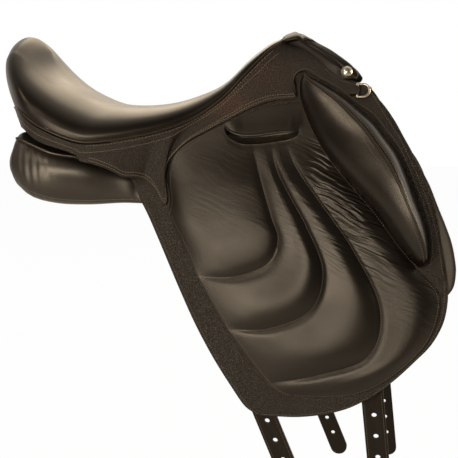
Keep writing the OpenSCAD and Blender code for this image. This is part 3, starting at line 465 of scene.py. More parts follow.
def finishPiece(piece, coats, body, nodes=(), smoothAngle=40):
    takeUp(piece)
    bpy.ops.object.shade_smooth_by_angle(angle=math.radians(smoothAngle))
    marks = [p.material_index for p in piece.data.polygons]
    piece.data.materials.clear()
    for coat in coats:
        piece.data.materials.append(finishes[coat])
    piece.data.polygons.foreach_set("material_index", [min(k, len(coats) - 1) for k in marks])
    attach(piece, body)
    if nodes:
        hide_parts(*nodes)
    return piece


# the left side's piece is the right side's, mirrored in the middle plane with its own mesh
def mirrored(piece, name):
    twin = newPiece(name, piece.data.copy())
    setPoints(twin, pointsOf(twin) * (1, -1, 1))
    with editing(twin):
        bpy.ops.mesh.flip_normals()
    return twin


def pairUp(piece, base, coats, nodes, smoothAngle=40):
    twin = mirrored(piece, base + "Left")
    piece.name = piece.data.name = base + "Right"
    for side, one in (("right", piece), ("left", twin)):
        finishPiece(one, coats, "saddle", [n + "_" + side for n in nodes], smoothAngle)


# round cord along a line of points, drawn to a point at both ends
cordSet = dict(step=2.5, least=20, reach=2, aside=(0.13, 0.21, 0.97), smooth=60)


def cordPiece(name, path, radius, around=10, taper=0.0):
    run = lengths(path)
    end = run[-1]

    def shape(u, v):
        ahead = along(path, run, np.minimum(u * end + cordSet["reach"], end))
        behind = along(path, run, np.maximum(u * end - cordSet["reach"], 0))
        t = unit(ahead - behind)
        a = unit(np.cross(t, np.array(cordSet["aside"])))
        b = np.cross(a, t)
        r = radius * np.sqrt(held(np.minimum(u, 1 - u) * end / radius))
        r = r * held(np.sin(math.pi * u)) ** taper
        turn = 2 * math.pi * v[:, None]
        return along(path, run, u * end) + r[:, None] * (np.cos(turn) * a + np.sin(turn) * b)

    steps = {"across": max(int(end / cordSet["step"]), cordSet["least"]), "down": around}
    return gridPiece(name, steps, shape, weld=True)


def cordPair(base, path, radius, coat, slotName, node, **form):
    cord = cordPiece(base, path, radius, **form)
    pairUp(cord, base, [coat], [node], smoothAngle=cordSet["smooth"])


# one stitch, modelled once; a row of stitches is its copies along a line on a surface
def makeStitch():
    bpy.ops.object.select_all(action="DESELECT")
    bpy.ops.mesh.primitive_uv_sphere_add(segments=6, ring_count=4, radius=1)
    one = bpy.context.object
    verts = pointsOf(one)[:, [2, 0, 1]]
    faces = [list(p.vertices) for p in one.data.polygons]
    bpy.data.objects.remove(one)
    return verts, faces


stitchVerts, stitchFaces = makeStitch()
stitchSet = dict(pitch=3.1, half=1.1, wide=0.42, tall=0.36, lift=0.1, slant=0.12, reach=0.5, probe=0.002, smooth=60)


def surfaceFrame(shape, u, v, outward):
    d = stitchSet["probe"]
    du = shape(held(u + d), v) - shape(held(u - d), v)
    dv = shape(u, held(v + d)) - shape(u, held(v - d))
    n = unit(np.cross(du, dv))
    return shape(u, v), n * np.sign(n @ np.asarray(outward, float))[:, None]


def stitchRow(shape, u, v, outward=(0, -1, 0), pitch=stitchSet["pitch"]):
    s = stitchSet
    here, n = surfaceFrame(shape, u, v, outward)
    run = lengths(here)
    marks = np.arange(pitch, run[-1] - pitch / 2, pitch)
    up = unit(along(n, run, marks))
    way = unit(along(here, run, marks + s["reach"]) - along(here, run, marks - s["reach"]))
    way = unit(way + s["slant"] * np.cross(up, way))  # each stitch lies a little across its row
    place = (along(here, run, marks) + s["lift"] * up)[:, None]
    for k, (size, axis) in enumerate((("half", way), ("wide", np.cross(up, way)), ("tall", up))):
        place = place + stitchVerts[None, :, k:k + 1] * s[size] * axis[:, None]
    return place


def stitchPiece(name, rows, coat, body="saddle", both=True):
    verts = np.concatenate([r.reshape(-1, 3) for r in rows]) * mm
    many = len(verts) // len(stitchVerts)
    faces = [[i + k * len(stitchVerts) for i in f] for k in range(many) for f in stitchFaces]
    mesh = bpy.data.meshes.new(name)
    mesh.from_pydata(verts.tolist(), [], faces)
    piece = newPiece(name, mesh)
    twins = [piece]
    if both:
        twins.append(mirrored(piece, name + "Left"))
        piece.name = mesh.name = name + "Right"
    for one in twins:
        finishPiece(one, [coat], body, smoothAngle=stitchSet["smooth"])


# seat: rows from the piping up to the spine; piping x, half width, z; spine x, z; rise, bulge, flat share, rim
seatSet = dict(
    rows=[
        [-138, 0, 120, -105, 188.5, 92, 52, 0.85, 54], [-130, 66, 121, -102, 177, 73.5, 44, 0.8, 39],
        [-106, 113, 118, -92, 160, 43, 20, 0.72, 18], [-74, 129, 99, -70, 145, 36, 7, 0.66, 8.5],
        [-28, 133, 82, -28, 129, 29.5, 5, 0.62, 3.5], [6, 130, 81, 6, 123, 27, 4, 0.6, 2],
        [63, 114, 91, 63, 125, 24, 3, 0.56, 2], [106, 99, 106, 106, 136.5, 22, 2, 0.52, 2],
        [143, 86, 131, 143, 153, 20, 1, 0.48, 2], [173, 75, 163, 173, 183, 16, 0, 0.44, 2],
        [197, 63, 188, 196, 201.5, 9, 0, 0.42, 1], [216, 49, 203, 214, 208, 4, 0, 0.4, 0]],
    fill=[[0, 3], [0.7, 8], [1.4, 9], [2.2, 5], [3, 1], [4, 0], [11, 0]],  # padding over the spine by the cantle
    fillReach=0.26, tuckFrom=30, tuck=0.14, across=200, down=56, gather=1.3, room=2.2,
    leather=2.2, padding=0.85, smooth=60, weltRadius=1.9, weltSteps=400,
    easeWide=34, easeBack=(-50, 70, 150), easeTimes=24)  # where the halves are eased together
lastRow = len(seatSet["rows"]) - 1


def seatAt(row, v):
    r = spline(seatSet["rows"], row / lastRow)
    edge, zero = r[:, 0:3], 0 * row
    spineX, spineZ, high, bulge, share, rim = r[:, 3:].T
    spine = columns(spineX, zero, spineZ)
    run = columns(edge[:, 0] - spineX, edge[:, 1], zero)
    out = unit(run)
    rise = columns(out[:, 0] * bulge, out[:, 1] * bulge, high)
    tuck = np.maximum(0, seatSet["tuckFrom"] - high) * seatSet["tuck"]
    foot = edge + unit(rise) * seatSet["room"] - tuck[:, None] * out
    crown = spine + run * share[:, None] + columns(zero, zero, rim)
    w, u = v[:, None], 1 - v[:, None]
    return u ** 3 * foot + 3 * u * u * w * (edge + rise) + 3 * u * w * w * crown + w ** 3 * spine


def seatShape(u, v):
    s = 2 * u - 1
    row = lastRow * np.abs(s) ** seatSet["gather"]
    p = seatAt(row, v)
    p[:, 2] += tableAt(seatSet["fill"], row)[:, 1] * bell(1 - v, 0, seatSet["fillReach"])
    p[:, 1] *= -np.sign(s)
    return p


def weltAt(row):
    return spline(seatSet["rows"], row / lastRow)[:, 0:3]


def makeSeat():
    piece = gridPiece("seatCover", seatSet, seatShape, weld=True)
    x, y, z = pointsOf(piece).T / mm
    back, wide, high = seatSet["easeBack"]
    near = (np.abs(y) < seatSet["easeWide"]) | ((x < back) & (np.abs(y) < wide) & (z > high))
    with editing(piece, "DESELECT"):
        pass  # edges and faces are let go too, so that only the points near the spine are eased
    piece.data.vertices.foreach_set("select", near)
    bpy.ops.object.mode_set(mode="EDIT")
    bpy.ops.mesh.vertices_smooth(factor=0.5, repeat=seatSet["easeTimes"])
    bpy.ops.object.mode_set(mode="OBJECT")
    turnTo(piece, (0, 0, 1))
    thicken(piece, seatSet["leather"], 0, rim=False)
    finishPiece(piece, ["seatLeather"], "saddle", ["seat_cover"], seatSet["smooth"])
    rows = lastRow * np.linspace(-1, 1, seatSet["weltSteps"])
    path = weltAt(np.abs(rows))
    path[:, 1] *= -np.sign(rows)
    welt = cordPiece("seatWelt", path, seatSet["weltRadius"])
    finishPiece(welt, ["weltLeather"], "saddle", ["seat_welt"], cordSet["smooth"])


# skirt: lower edge by the seat's rows, then the strip beside the pommel and down in front of the block
skirtSet = dict(
    lower=[
        [0, -132, 0, 95], [1, -121, 66, 96], [2, -99, 115, 95], [3, -72, 131, 80], [4, -27, 135, 66],
        [4.3, -20, 135, 58], [4.9, -2, 133, 53.5], [5.3, 16, 129, 46.5], [5.6, 30, 124, 38.5],
        [5.85, 43, 119, 37.5], [6.1, 56, 113, 33.5], [6.3, 68, 0, 24], [6.5, 78, 0, 9], [6.65, 84, 0, 8],
        [6.85, 82, 0, 24], [7.05, 79.5, 0, 42], [7.25, 84, 0, 59], [7.6, 104, 0, 80], [8, 131, 0, 95],
        [8.5, 154, 0, 107], [9, 180, 0, 120.5], [9.5, 206, 0, 129.5], [10.3, 230, 0, 131.5], [11, 237, 0, 133]],
    outer=[
        [216, 203], [229, 196.8], [242, 190], [257, 178.9], [271, 167.1], [286, 156], [301, 151.4], [318, 146],
        [333, 126], [346, 106], [358, 87], [370, 64], [382, 39], [393, 12], [401, -20], [406, -48], [410, -68]],
    inner=[
        [237, 133], [231.5, 150], [235.5, 162], [246, 164.5], [260, 156], [278, 146], [294, 135], [310, 122.5],
        [325, 112], [339, 95], [354, 76], [365, 54], [375, 30], [383, 10], [390.5, -12], [393, -36], [389, -57]],
    sway=[  # the tail's rows swing back, so that they don't cross at its front edge
        [0, 0], [5.5, 0], [6.05, 0], [6.3, -6], [6.5, -11], [6.65, -15.5], [6.85, -19], [7.05, -15.7],
        [7.25, -7.7], [7.6, -1], [8, 0], [11, 0]],
    across=330, down=20, split=0.6, room=2.5, flapFrom=20, rounding=0.7, middle=0.15,
    neck=50, neckRun=12, roomRun=9, turnWide=110, reach=0.2,
    # where the skirt's painted reddish reflection lies: x, z, their reaches in mm and its strength
    rub=[[150, 128, 32, 20, 0.75], [195, 160, 34, 26, 0.35]])


def laid(p):
    x, w, z = p.T
    return columns(x, np.where(x < skirtSet["flapFrom"], w, np.maximum(w, overFlap(x, z))), z)


skirtLower = [[row, x, w or overFlap(x, z), z] for row, x, w, z in skirtSet["lower"]]
skirtLower[0][2] = 0.0


# the band under the seat
def skirtBand(row, f):
    low = laid(tableAt(skirtLower, row)[:, 1:4])
    top = weltAt(row)
    reach = skirtSet["reach"]
    t = unit(weltAt(np.minimum(row + reach, lastRow)) - weltAt(np.maximum(row - reach, 0)))
    run = low - top
    hang = top + skirtSet["room"] * unit(run - np.sum(run * t, axis=1, keepdims=True) * t)
    middle = (hang + low) / 2 + tableAt(skirtSet["sway"], row)[:, 1:2] * np.array([1, 0, 0])
    return laid((1 - f) ** 2 * hang + 2 * f * (1 - f) * middle + f * f * low)


# the strip in front of the block
def skirtStrip(k, f):
    p, q = spline(skirtSet["outer"], k), spline(skirtSet["inner"], k)
    w = skirtSet["neck"] * (1 - ease(k * skirtSet["neckRun"]))
    top, low = columns(p[:, 0], w, p[:, 1]), columns(q[:, 0], 0 * w, q[:, 1])
    room = skirtSet["room"] * (1 - ease(k * skirtSet["roomRun"]))
    return laid(mix(top + room[:, None] * unit((low - top) * np.array([1, 0, 1])), low, f))


def skirtInner(u, v):
    split = skirtSet["split"]
    band = skirtBand(lastRow * held(u / split), v[:, None])
    strip = skirtStrip(held((u - split) / (1 - split)), v[:, None])
    return np.where((u < split)[:, None], band, strip)


def outwardOf(w):
    n = ease(w / skirtSet["turnWide"])
    return unit(columns(-(1 - n), n, 0 * n))


def skirtShape(u, v):
    p = skirtInner(u, v) + gapSet["skirt"] * outwardOf(skirtInner(u, 0 * v)[:, 1])
    p[:, 1] = -np.maximum(p[:, 1], skirtSet["middle"])
    return p


def makeSkirts():
    piece = gridPiece("skirt", skirtSet, skirtShape)
    thicken(piece, gapSet["skirt"], skirtSet["rounding"])
    # the mask of the skirt's painted reddish reflection
    paintMask(piece, "rub", skirtSet["rub"])
    pairUp(piece, "skirt", ["grainedLeather", "edgeHighlightLeather"], ["skirt"])


# pommel cover: rear seam and front edge from the middle to its corner under the stud
pommelSet = dict(
    rear=[[215.4, 0, 206.5], [216.8, 20, 208.4], [218.4, 38, 206], [225, 52, 199.6], [243, 0, 190.5],
          [259, 0, 178.6], [273, 0, 166.6], [287, 0, 156.4], [301, 0, 152.6]],
    front=[[222, 0, 201], [232, 18, 206.5], [241, 36, 205], [251, 50, 199], [267, 0, 190],
           [285, 0, 177.5], [296, 0, 168.5], [303.5, 0, 160.5], [306.5, 0, 155.6]],
    across=150, down=30, leather=2, sheet=1.6, rounding=0.5, turn=0.7, crown=2.6, horn=5,
    roll=6.5, rollTurn=2.4, rollLess=0.6, lap=5, lapLift=-0.3, lapMore=(3, 0.32, 0.12),
    lapRun=8, valley=(0.6, 0.62, 0.1), corner=0.86, cornerMost=0.995, cornerMiddle=0.45,
    stud=(0.95, 0.815, 0.075), sideFrom=0.3, sideRamp=(0.2, 0.25), lean=(0.25, 0.75), crownRamp=(0.25, 0.25),
    crownRound=0.8, valleyRamp=(0.12, 0.12), rollRamp=(0.6, 0.3))


def pommelSheet(t, f):
    x, w, z = mix(spline(pommelSet["rear"], t), spline(pommelSet["front"], t), f[:, None]).T
    return columns(x, np.maximum(w, np.where(t < pommelSet["sideFrom"], 0, overFlap(x, z))), z)


# from the rear seam over a soft crown to the front edge, which is rolled under
def pommelShape(u, v):
    look = pommelSet
    s = 2 * u - 1
    t = np.abs(s)
    down = ramp(t, *look["sideRamp"])
    ahead, less = look["lean"]
    out = unit(columns(ahead * (1 - down), down, 1.0 - less * down))
    across = held(v / look["turn"])
    corner, middle = look["corner"], look["cornerMiddle"]
    # the corner under the stud is round
    end = np.sqrt(1 - np.clip((t - corner) / (1 - corner), 0, look["cornerMost"]) ** 2)
    p = pommelSheet(t, middle + (across - middle) * end)
    ahead = unit(pommelSheet(t, 0 * t + 1) - pommelSheet(t, 0 * t))
    crown = mix(look["horn"], look["crown"], ramp(t, *look["crownRamp"])) * end
    deep, at, wide = look["valley"]
    valley = deep * bell(across, at, wide) * ramp(t, *look["valleyRamp"])
    press, at, wide = look["stud"]
    under = 1 - press * bell(t, at, wide)  # flat where the stud sits
    fullness = crown * under * (np.sin(math.pi * across ** look["crownRound"]) ** look["crownRound"] - valley)
    p = p + (look["leather"] + fullness)[:, None] * out
    angle = held((v - look["turn"]) / (1 - look["turn"])) * look["rollTurn"]
    r = look["roll"] * end * (1 - look["rollLess"] * ramp(t, *look["rollRamp"]))
    p = p + (r * np.sin(angle))[:, None] * ahead - (r * (1 - np.cos(angle)))[:, None] * out
    more, at, wide = look["lapMore"]
    lap = (look["lap"] + more * bell(t, at, wide)) * (1 - held(v * look["lapRun"]))
    p = p - (lap * end)[:, None] * ahead + (look["lapLift"] * lap * end)[:, None] * out  # over the skirt's edge
    p[:, 1] *= -np.sign(s)
    return p


def makePommel():
    piece = gridPiece("pommelCover", pommelSet, pommelShape, outward=(0, 0, 1))
    thicken(piece, pommelSet["sheet"], pommelSet["rounding"])
    finishPiece(piece, ["pommelLeather", "edgeHighlightLeather"], "saddle", ["pommel_cover"])


# flap: x and z along its four edges
flapSet = dict(
    top=[[30, 47], [60, 68], [110, 93], [150, 121], [180, 143], [206, 156], [240, 163], [280, 160.5], [313, 146]],
    rear=[[30, 47], [42, 25], [51, 9], [63, -11], [82, -47], [104, -90], [126, -131], [149, -168], [172, -200],
          [188, -220], [203, -229]],
    bottom=[[203, -229], [228, -229], [253, -227.5], [280, -222.5], [306, -214], [330, -201]],
    front=[[313, 146], [333, 127], [350, 104], [365, 78], [377, 57], [387, 36], [396, 12], [403, -20], [409, -50],
           [412, -72], [412.5, -92], [408, -115], [396, -138], [380, -156], [356, -180], [330, -201]],
    across=90, down=110, rounding=0.8)
slotSet = dict(
    line=[[149, 97.5], [154, 91.2], [160, 86.8], [172, 82.4], [190, 82.4], [210, 84.8], [226, 87.2], [235, 90],
          [239.5, 95]],
    lip=[[147.5, 101.5], [153.5, 95.6], [161, 91.4], [173, 88.4], [190, 88.8], [204, 91], [218.1, 92.8],
         [230.2, 93.6], [239.5, 99]],
    half=4.2, round=0.45, deep=60, probe=0.01, across=60, down=24,
    lipRadius=2.5, lipSeat=0.55, lipTaper=0.5, lipSteps=90, lipAround=16,
    hood=2.4, hoodSpan=(146, 246), hoodRun=18, hoodAbove=(6, 6, 13), dip=(0.3, -5, 4))


def flapShape(u, v):
    p = patchAt(flapSet, u, v)
    return onRight(p, sideWidth(*p.T) + gapSet["flap"])


# the stirrup leather's slot is cut along its upturned line
def cutSlot(piece):
    def shape(u, v):
        line, probe, turn = slotSet["line"], slotSet["probe"], 2 * math.pi * v
        p = spline(line, u)
        t = unit(spline(line, np.minimum(u + probe, 1)) - spline(line, np.maximum(u - probe, 0)))
        half = slotSet["half"] * held(np.sin(math.pi * u)) ** slotSet["round"] * np.sin(turn)
        aside = half[:, None] * columns(-t[:, 1], t[:, 0])
        return onRight(p + aside, sideWidth(*p.T) + slotSet["deep"] * np.cos(turn))

    cutter = gridPiece("slotCutter", slotSet, shape, weld=True)
    if sum(p.center.dot(p.normal) * p.area for p in cutter.data.polygons) < 0:
        cutter.data.flip_normals()
    applyModifier(piece, "BOOLEAN", object=cutter, operation="DIFFERENCE", solver="EXACT")
    bpy.data.objects.remove(cutter)


def makeFlaps():
    piece = gridPiece("flap", flapSet, flapShape)
    thicken(piece, gapSet["flap"], flapSet["rounding"])
    cutSlot(piece)
    pairUp(piece, "flap", ["grainedLeather", "edgeHighlightLeather"], ["flap"])


# quilted pad: five J lines of x and z across it, the middle three are sewn; share of the crown in each channel
padSet = dict(
    lines=[
        [[150, 103], [128.5, 91.5], [109.5, 81.5], [93.5, 69], [86.3, 58], [82.6, 44], [84, 29], [88, 13], [86, -3]],
        [[176, 113], [182, 88], [190, 60], [200, 30], [212, -4], [221, -30], [210, -57], [172, -73], [127, -76]],
        [[199, 122], [205, 90], [214, 54], [230, 24], [254, -15], [274, -62], [262, -106], [215, -129], [165, -134]],
        [[219, 125], [222, 95], [236, 57], [266, 16], [306, -36], [339, -100], [328, -153], [272, -178], [214, -192]],
        [[240, 127], [256.5, 92.5], [287, 50.5], [334.5, -2], [377, -55.5], [404, -88], [386, -143], [322, -194],
         [236, -205]]],
    crowns=[0.9, 1, 1, 0.75], sheet=1.8, crown=7, edgeRun=44, rounding=0.5, padding=0.7,
    dome=3.4, domeLean=(1.35, 1.6), domeRound=1.4, domeWide=60, domeSpan=(0.3, 1.3),
    seam=0.46, seamWide=5, seamSides=(0.8, 1.5), seamRound=1.3, unsewn=9, across=232, down=190,
    fadeTop=84, fadeRun=56, fadeEnd=0.2, pucker=0.1, puckerWide=8, puckerWaves=(310, 9, 11),
    folds=[[305, 8, 34, 46, 0.9], [272, 52, 20, 26, 0.7], [338, -42, 26, 26, 0.5], [395, -85, 26, 40, 0.25],
           [240, 20, 60, 60, 0.1], [150, 40, 60, 60, 0.05]])
channels = len(padSet["lines"]) - 1


def padXz(u, v):
    lines = [spline(line, v) for line in padSet["lines"]]
    i, f = spanOf(u, channels)
    ends = np.stack([2 * lines[0] - lines[1], *lines, 2 * lines[-1] - lines[-2]], axis=1)
    pick = np.arange(len(u))
    return cubic(*(ends[pick, i + k] for k in range(4)), f), i, f[:, 0]


# how far the leather stands out round the stirrup slot: a hood over it and a dip under it
def slotHood(x, z):
    line, run = np.asarray(slotSet["line"]), slotSet["hoodRun"]
    above = z - np.interp(x, line[:, 0], line[:, 1])
    near = ramp(x, slotSet["hoodSpan"][0], run) * ramp(x, slotSet["hoodSpan"][1], -run)
    at, down, up = slotSet["hoodAbove"]
    dip, low, wide = slotSet["dip"]
    return near * slotSet["hood"] * (bell(above, at, np.where(above > at, up, down)) - dip * bell(above, low, wide))


def padShape(u, v):
    look = padSet
    p, i, f = padXz(u, v)
    last = channels - 1
    crown = spline(np.asarray(look["crowns"])[:, None], held((u * channels - 0.5) / last))[:, 0]
    gap = np.linalg.norm(padXz(held((i + 1.0) / channels), v)[0] - padXz(i / channels, v)[0], axis=1)
    # distance from the nearest sewn line, where an edge isn't one, and from the pad's own edge
    away = look["unsewn"]
    far = np.minimum(f * np.where(i > 0, 1, away), (1 - f) * np.where(i < last, 1, away)) * gap
    edge = np.minimum(u * channels, (1 - u) * channels) * gap
    steep, broad = look["seamSides"]  # the side of a channel that rolls down to its next line is broader
    seam = np.exp(-(far / (look["seamWide"] * np.where((1 - f) < f, broad, steep))) ** look["seamRound"])
    full = 1 - (1 - held(edge / look["edgeRun"])) ** 3
    fade = ease((look["fadeTop"] - p[:, 1]) / look["fadeRun"])
    fade = fade * (1 - (1 - held((1 - v) / look["fadeEnd"])) ** 3)
    fast, sway, slow = look["puckerWaves"]
    ripple = look["pucker"] * bell(far, 0, look["puckerWide"]) * np.sin(v * fast + sway * np.sin(u * slow)) * (1 - seam)
    lift = look["sheet"] + fade * (look["crown"] * crown * full * (1 - look["seam"] * seam) + ripple)
    over, down = look["domeLean"]
    dome = np.sin(math.pi * f ** over) ** look["domeRound"] * np.sin(math.pi * held(v) ** down)
    lift += fade * look["dome"] * (dome * np.clip(gap / look["domeWide"], *look["domeSpan"]))
    lift += slotHood(*p.T)
    return onRight(p, overFlap(*p.T) + lift)


def padBack(u, v):
    p = padXz(u, v)[0]
    return onRight(p, overFlap(*p.T) + gapSet["back"])


# a pad is a closed form: the front grid, the same grid flat at the back, and a turned edge between
def closedPad(name, look, shape, back):
    front = gridPiece(name, look, shape)
    rear = gridPiece(name + "Back", look, back, outward=(0, 1, 0))
    takeUp(front, rear)
    bpy.ops.object.join()
    closeRims(front, bpy.ops.mesh.bridge_edge_loops)
    return front


def makePads():
    piece = closedPad("flapPad", padSet, padShape, padBack)
    roundEdges(piece, padSet["rounding"], segments=2, angle=55)
    cutSlot(piece)
    paintMask(piece, "folds", padSet["folds"])
    pairUp(piece, "flapPad", ["padLeather"], ["flap_pad"])
    p = spline(slotSet["lip"], np.linspace(0, 1, slotSet["lipSteps"]))
    path = onRight(p, overFlap(*p.T) + padSet["sheet"] + slotSet["lipSeat"] * slotSet["lipRadius"])
    cordPair("slotLip", path, slotSet["lipRadius"], "smoothLeather", "smooth_leather", "slot_lip",
             around=slotSet["lipAround"], taper=slotSet["lipTaper"])


# thigh block: x and z of its rear and front base lines, and its height along them
blockSet = dict(
    rear=[[239.5, 158], [237, 146], [240, 127], [247, 109], [255, 92], [268, 71], [283, 52], [300, 33], [316, 16],
          [331, 0], [348, -22], [361, -38], [372, -49], [379.5, -55]],
    front=[[244, 160.5], [253, 156], [272, 146], [293, 133], [312, 117.5], [326, 105], [339, 88.5], [352, 70.5],
           [363, 48], [373, 22.5], [380.5, 4.5], [387, -16], [390, -36], [387, -50]],
    share=[0.1, 0.28, 0.44, 0.58, 0.7, 0.8, 0.88, 0.95, 1, 1, 0.95, 0.82, 0.56, 0.2],
    high=44, ridge=0.82, ridgeAt=0.6, rise=[0.2, 0.8], fall=[1, 0.94], across=64, down=150,
    padding=0.9, smooth=70, welt=1.5, weltSeat=0.9, weltSpan=(0.02, 0.95, 160))


def bend(a, b, c, t):
    return (1 - t) ** 2 * np.array(a)[:, None] + 2 * t * (1 - t) * np.array(b)[:, None] + t * t * np.array(c)[:, None]


def blockProfile(u):
    top, at = [blockSet["ridge"], 1], blockSet["ridgeAt"]
    rise = bend([0, 0], blockSet["rise"], top, held(u / at))
    fall = bend(top, blockSet["fall"], [1, 0], held((u - at) / (1 - at)))
    return np.where(u < at, rise, fall)


def blockAt(d, h, v):
    p = mix(spline(blockSet["rear"], v), spline(blockSet["front"], v), d[:, None])
    share = spline(np.asarray(blockSet["share"])[:, None], v)[:, 0]
    return p, overFlap(*p.T) + h * blockSet["high"] * share


def blockShape(u, v):
    return onRight(*blockAt(*blockProfile(u), v))


def blockBack(u, v):
    p, w = blockAt(u, 0 * u, v)
    return onRight(p, w + gapSet["back"])


def makeBlocks():
    piece = closedPad("thighBlock", blockSet, blockShape, blockBack)
    pairUp(piece, "thighBlock", ["blockLeather"],
           ["thigh_block_cover", "thigh_block_foam"], smoothAngle=blockSet["smooth"])
    t = np.linspace(*blockSet["weltSpan"])
    p, w = blockAt(0 * t + blockSet["ridge"], 0 * t + 1, t)
    path = onRight(p, w + blockSet["weltSeat"])
    cordPair("blockWelt", path, blockSet["welt"], "weltLeather", "piping", "thigh_block_welt")


# panel: x, then half width and z of its top outer, bottom outer, bottom inner and top inner corners
panelSet = dict(
    rows=[
        [-121, 103, 66, 106, 44, 92, 42, 90, 64], [-112, 108, 81, 111, 31, 72, 25, 68, 80],
        [-92, 115, 75, 116, 14, 48, 22, 44, 82], [-60, 120, 64, 116, 5, 38, 24, 36, 80],
        [-20, 113, 58, 111, 3, 35, 29, 34, 79], [30, 98, 50, 106, 5, 36, 40, 35, 80],
        [80, 97, 44, 110, 2, 39, 52, 37, 84], [140, 98, 54, 117, -10, 44, 66, 41, 88],
        [200, 92, 66, 121, -22, 49, 76, 45, 92], [260, 88, 76, 124, -28, 56, 80, 50, 94],
        [310, 90, 68, 122, -12, 70, 66, 64, 86], [335, 94, 58, 110, 14, 90, 50, 87, 64]],
    bulge=9, bulgeFor=60, across=150, down=96, gather=0.35, soft=3, padding=0.85,
    smooth=70, free=44, freeRamp=(45, -40), wideRamp=(80, 30), backRamp=(32, -60),
    round=5, roundAt=36, ripple=0.3, rippleAt=(-84, 24), rippleWaves=(0.62, 0.06),
    weltRadius=2, weltSpan=(-113, 30, 120), weltOut=1.84, weltUp=1.73, weltAround=12)


def underWeb(x, z):
    return sideWidth(x, z) - gapSet["fit"] * 3 - gapSet["wing"] - gapSet["web"]


def panelRowAt(x):
    tab = np.asarray(panelSet["rows"])
    return spline(tab, np.interp(x, tab[:, 0], np.linspace(0, 1, len(tab))))


# a closed ring through the four corners and a bulged point between each two of them
def panelRing(r, v):
    corners = [r[:, 1 + 2 * k:3 + 2 * k] for k in range(4)]
    size = np.minimum(np.linalg.norm(corners[0] - corners[2], axis=1) / panelSet["bulgeFor"], 1)[:, None]
    ring = []
    for k in range(4):
        a, b = corners[k], corners[(k + 1) % 4]
        way = unit(b - a)
        left = columns(-way[:, 1], way[:, 0])
        flat = k == 2  # the side to the gullet
        ring += [a, (a + b) / 2 + left * (size * panelSet["bulge"]) * (0 if flat else 1)]
    i, f = spanOf(v % 1.0, len(ring))
    places, pick = np.stack(ring, axis=1), np.arange(len(v))
    return cubic(*(places[pick, (i + k) % len(ring)] for k in (-1, 0, 1, 2)), f)


def panelShape(u, v):
    look = panelSet
    ends = 0.5 - 0.5 * np.cos(math.pi * u)
    r = spline(look["rows"], look["gather"] * ends + (1 - look["gather"]) * u)
    x, (w, z) = r[:, 0], panelRing(r, v).T
    limit = underWeb(x, z) + look["free"] * ramp(x, *look["freeRamp"])
    outer = ramp(w, *look["wideRamp"]) * ramp(x, *look["backRamp"])  # the part that shows behind the flap
    w = w - look["soft"] * np.logaddexp(0, (w - limit) / look["soft"])
    w += outer * look["round"] * held(1 - ((z - look["roundAt"]) / look["roundAt"]) ** 2)
    alongX, alongZ = look["rippleWaves"]
    w += outer * look["ripple"] * bell(x, *look["rippleAt"]) * np.sin(x * alongX + z * alongZ)
    return columns(x, -w, z)


def makePanels():
    piece = gridPiece("panel", panelSet, panelShape, weld=True)
    closeRims(piece, bpy.ops.mesh.edge_face_add)
    pairUp(piece, "panel", ["panelLeather"], ["panel"],
           smoothAngle=panelSet["smooth"])
    r = panelRowAt(np.linspace(*panelSet["weltSpan"]))
    path = columns(r[:, 0], -(r[:, 1] + panelSet["weltOut"]), r[:, 2] + panelSet["weltUp"])
    cordPair("panelWelt", path, panelSet["weltRadius"], "pipingLeather", "piping", "panel_welt",
             around=panelSet["weltAround"])


# the panel's front wing shows past the flap's front edge
wingSet = dict(
    top=[[92, 50], [160, 60], [230, 68], [296, 76], [346, 82]],
    front=[[346, 82], [363, 72], [378, 56], [390, 36], [400, 12], [409, -9], [416, -28], [420, -47], [421, -60],
           [418.5, -76], [410, -88]],
    rear=[[92, 50], [88, 20], [98, -10], [122, -50]],
    bottom=[[122, -50], [180, -84], [260, -104], [340, -106], [410, -88]],
    across=70, down=50, rounding=0.9)


def wingShape(u, v):
    p = patchAt(wingSet, u, v)
    return onRight(p, sideWidth(*p.T) - gapSet["fit"])


def makeWings():
    piece = gridPiece("panelWing", wingSet, wingShape)
    thicken(piece, gapSet["wing"], wingSet["rounding"])
    pairUp(piece, "panelWing", ["panelLeather", "underLeather"], ["panel_wing"])


# leather lining over the gullet, from panel to panel under the seat's web
liningSet = dict(x=(-112, 196), arch=7, leather=1.6, across=90, down=24, tuck=3, lift=1.5)


def liningShape(u, v):
    x = mix(*liningSet["x"], u)
    r = panelRowAt(x)
    s = 2 * v - 1
    return columns(x, s * (r[:, 7] + liningSet["tuck"]), r[:, 8] + liningSet["lift"] + liningSet["arch"] * (1 - s * s))


def makeLining():
    piece = gridPiece("gulletLining", liningSet, liningShape, outward=(0, 0, -1))
    thicken(piece, liningSet["leather"], 0)
    finishPiece(piece, ["underLeather"], "saddle")


for make in (makeSeat, makeSkirts, makePommel, makeFlaps, makePads, makeBlocks, makePanels, makeWings, makeLining):
    make()
    print(make.__name__, "done")

# pieces whose solid has the right shape are copied, merged, given rounded edges and a finish, the straps with a painted
# highlight on their cut edges:
# body, coats, slot and the rounding of their edges
copySet = {
    "pommel_studs": ("saddle", ["silverMetal"], "silver_metal", 0),
    "rear_facing": ("saddle", ["underLeather"], "under_leather", 0),
    "seat_web": ("saddle", ["girthWebbing"], "webbing", 0),
    "seat_foam": ("saddle", ["creamFoam"], "foam", 0),
    "pommel_pad": ("saddle", ["greyFelt"], "foam", 0)}
for side in ("_right", "_left"):
    copySet["dee_ring" + side] = ("dee" + side, ["silverMetal"], "silver_metal", 0)
    copySet["dee_chape" + side] = ("saddle", ["grainedLeather"], "grained_leather", 0.4)
    copySet["girth_web" + side] = ("saddle", ["girthWebbing"], "webbing", 0)
    for end in ("_front", "_rear"):
        copySet["billet" + end + side] = ("strap" + end + side, ["underLeather", "edgeHighlightLeather"], "under_leather", 0.7)
copyRules = dict(merge=0.01, flat=1, rim=0.7, smooth=35)


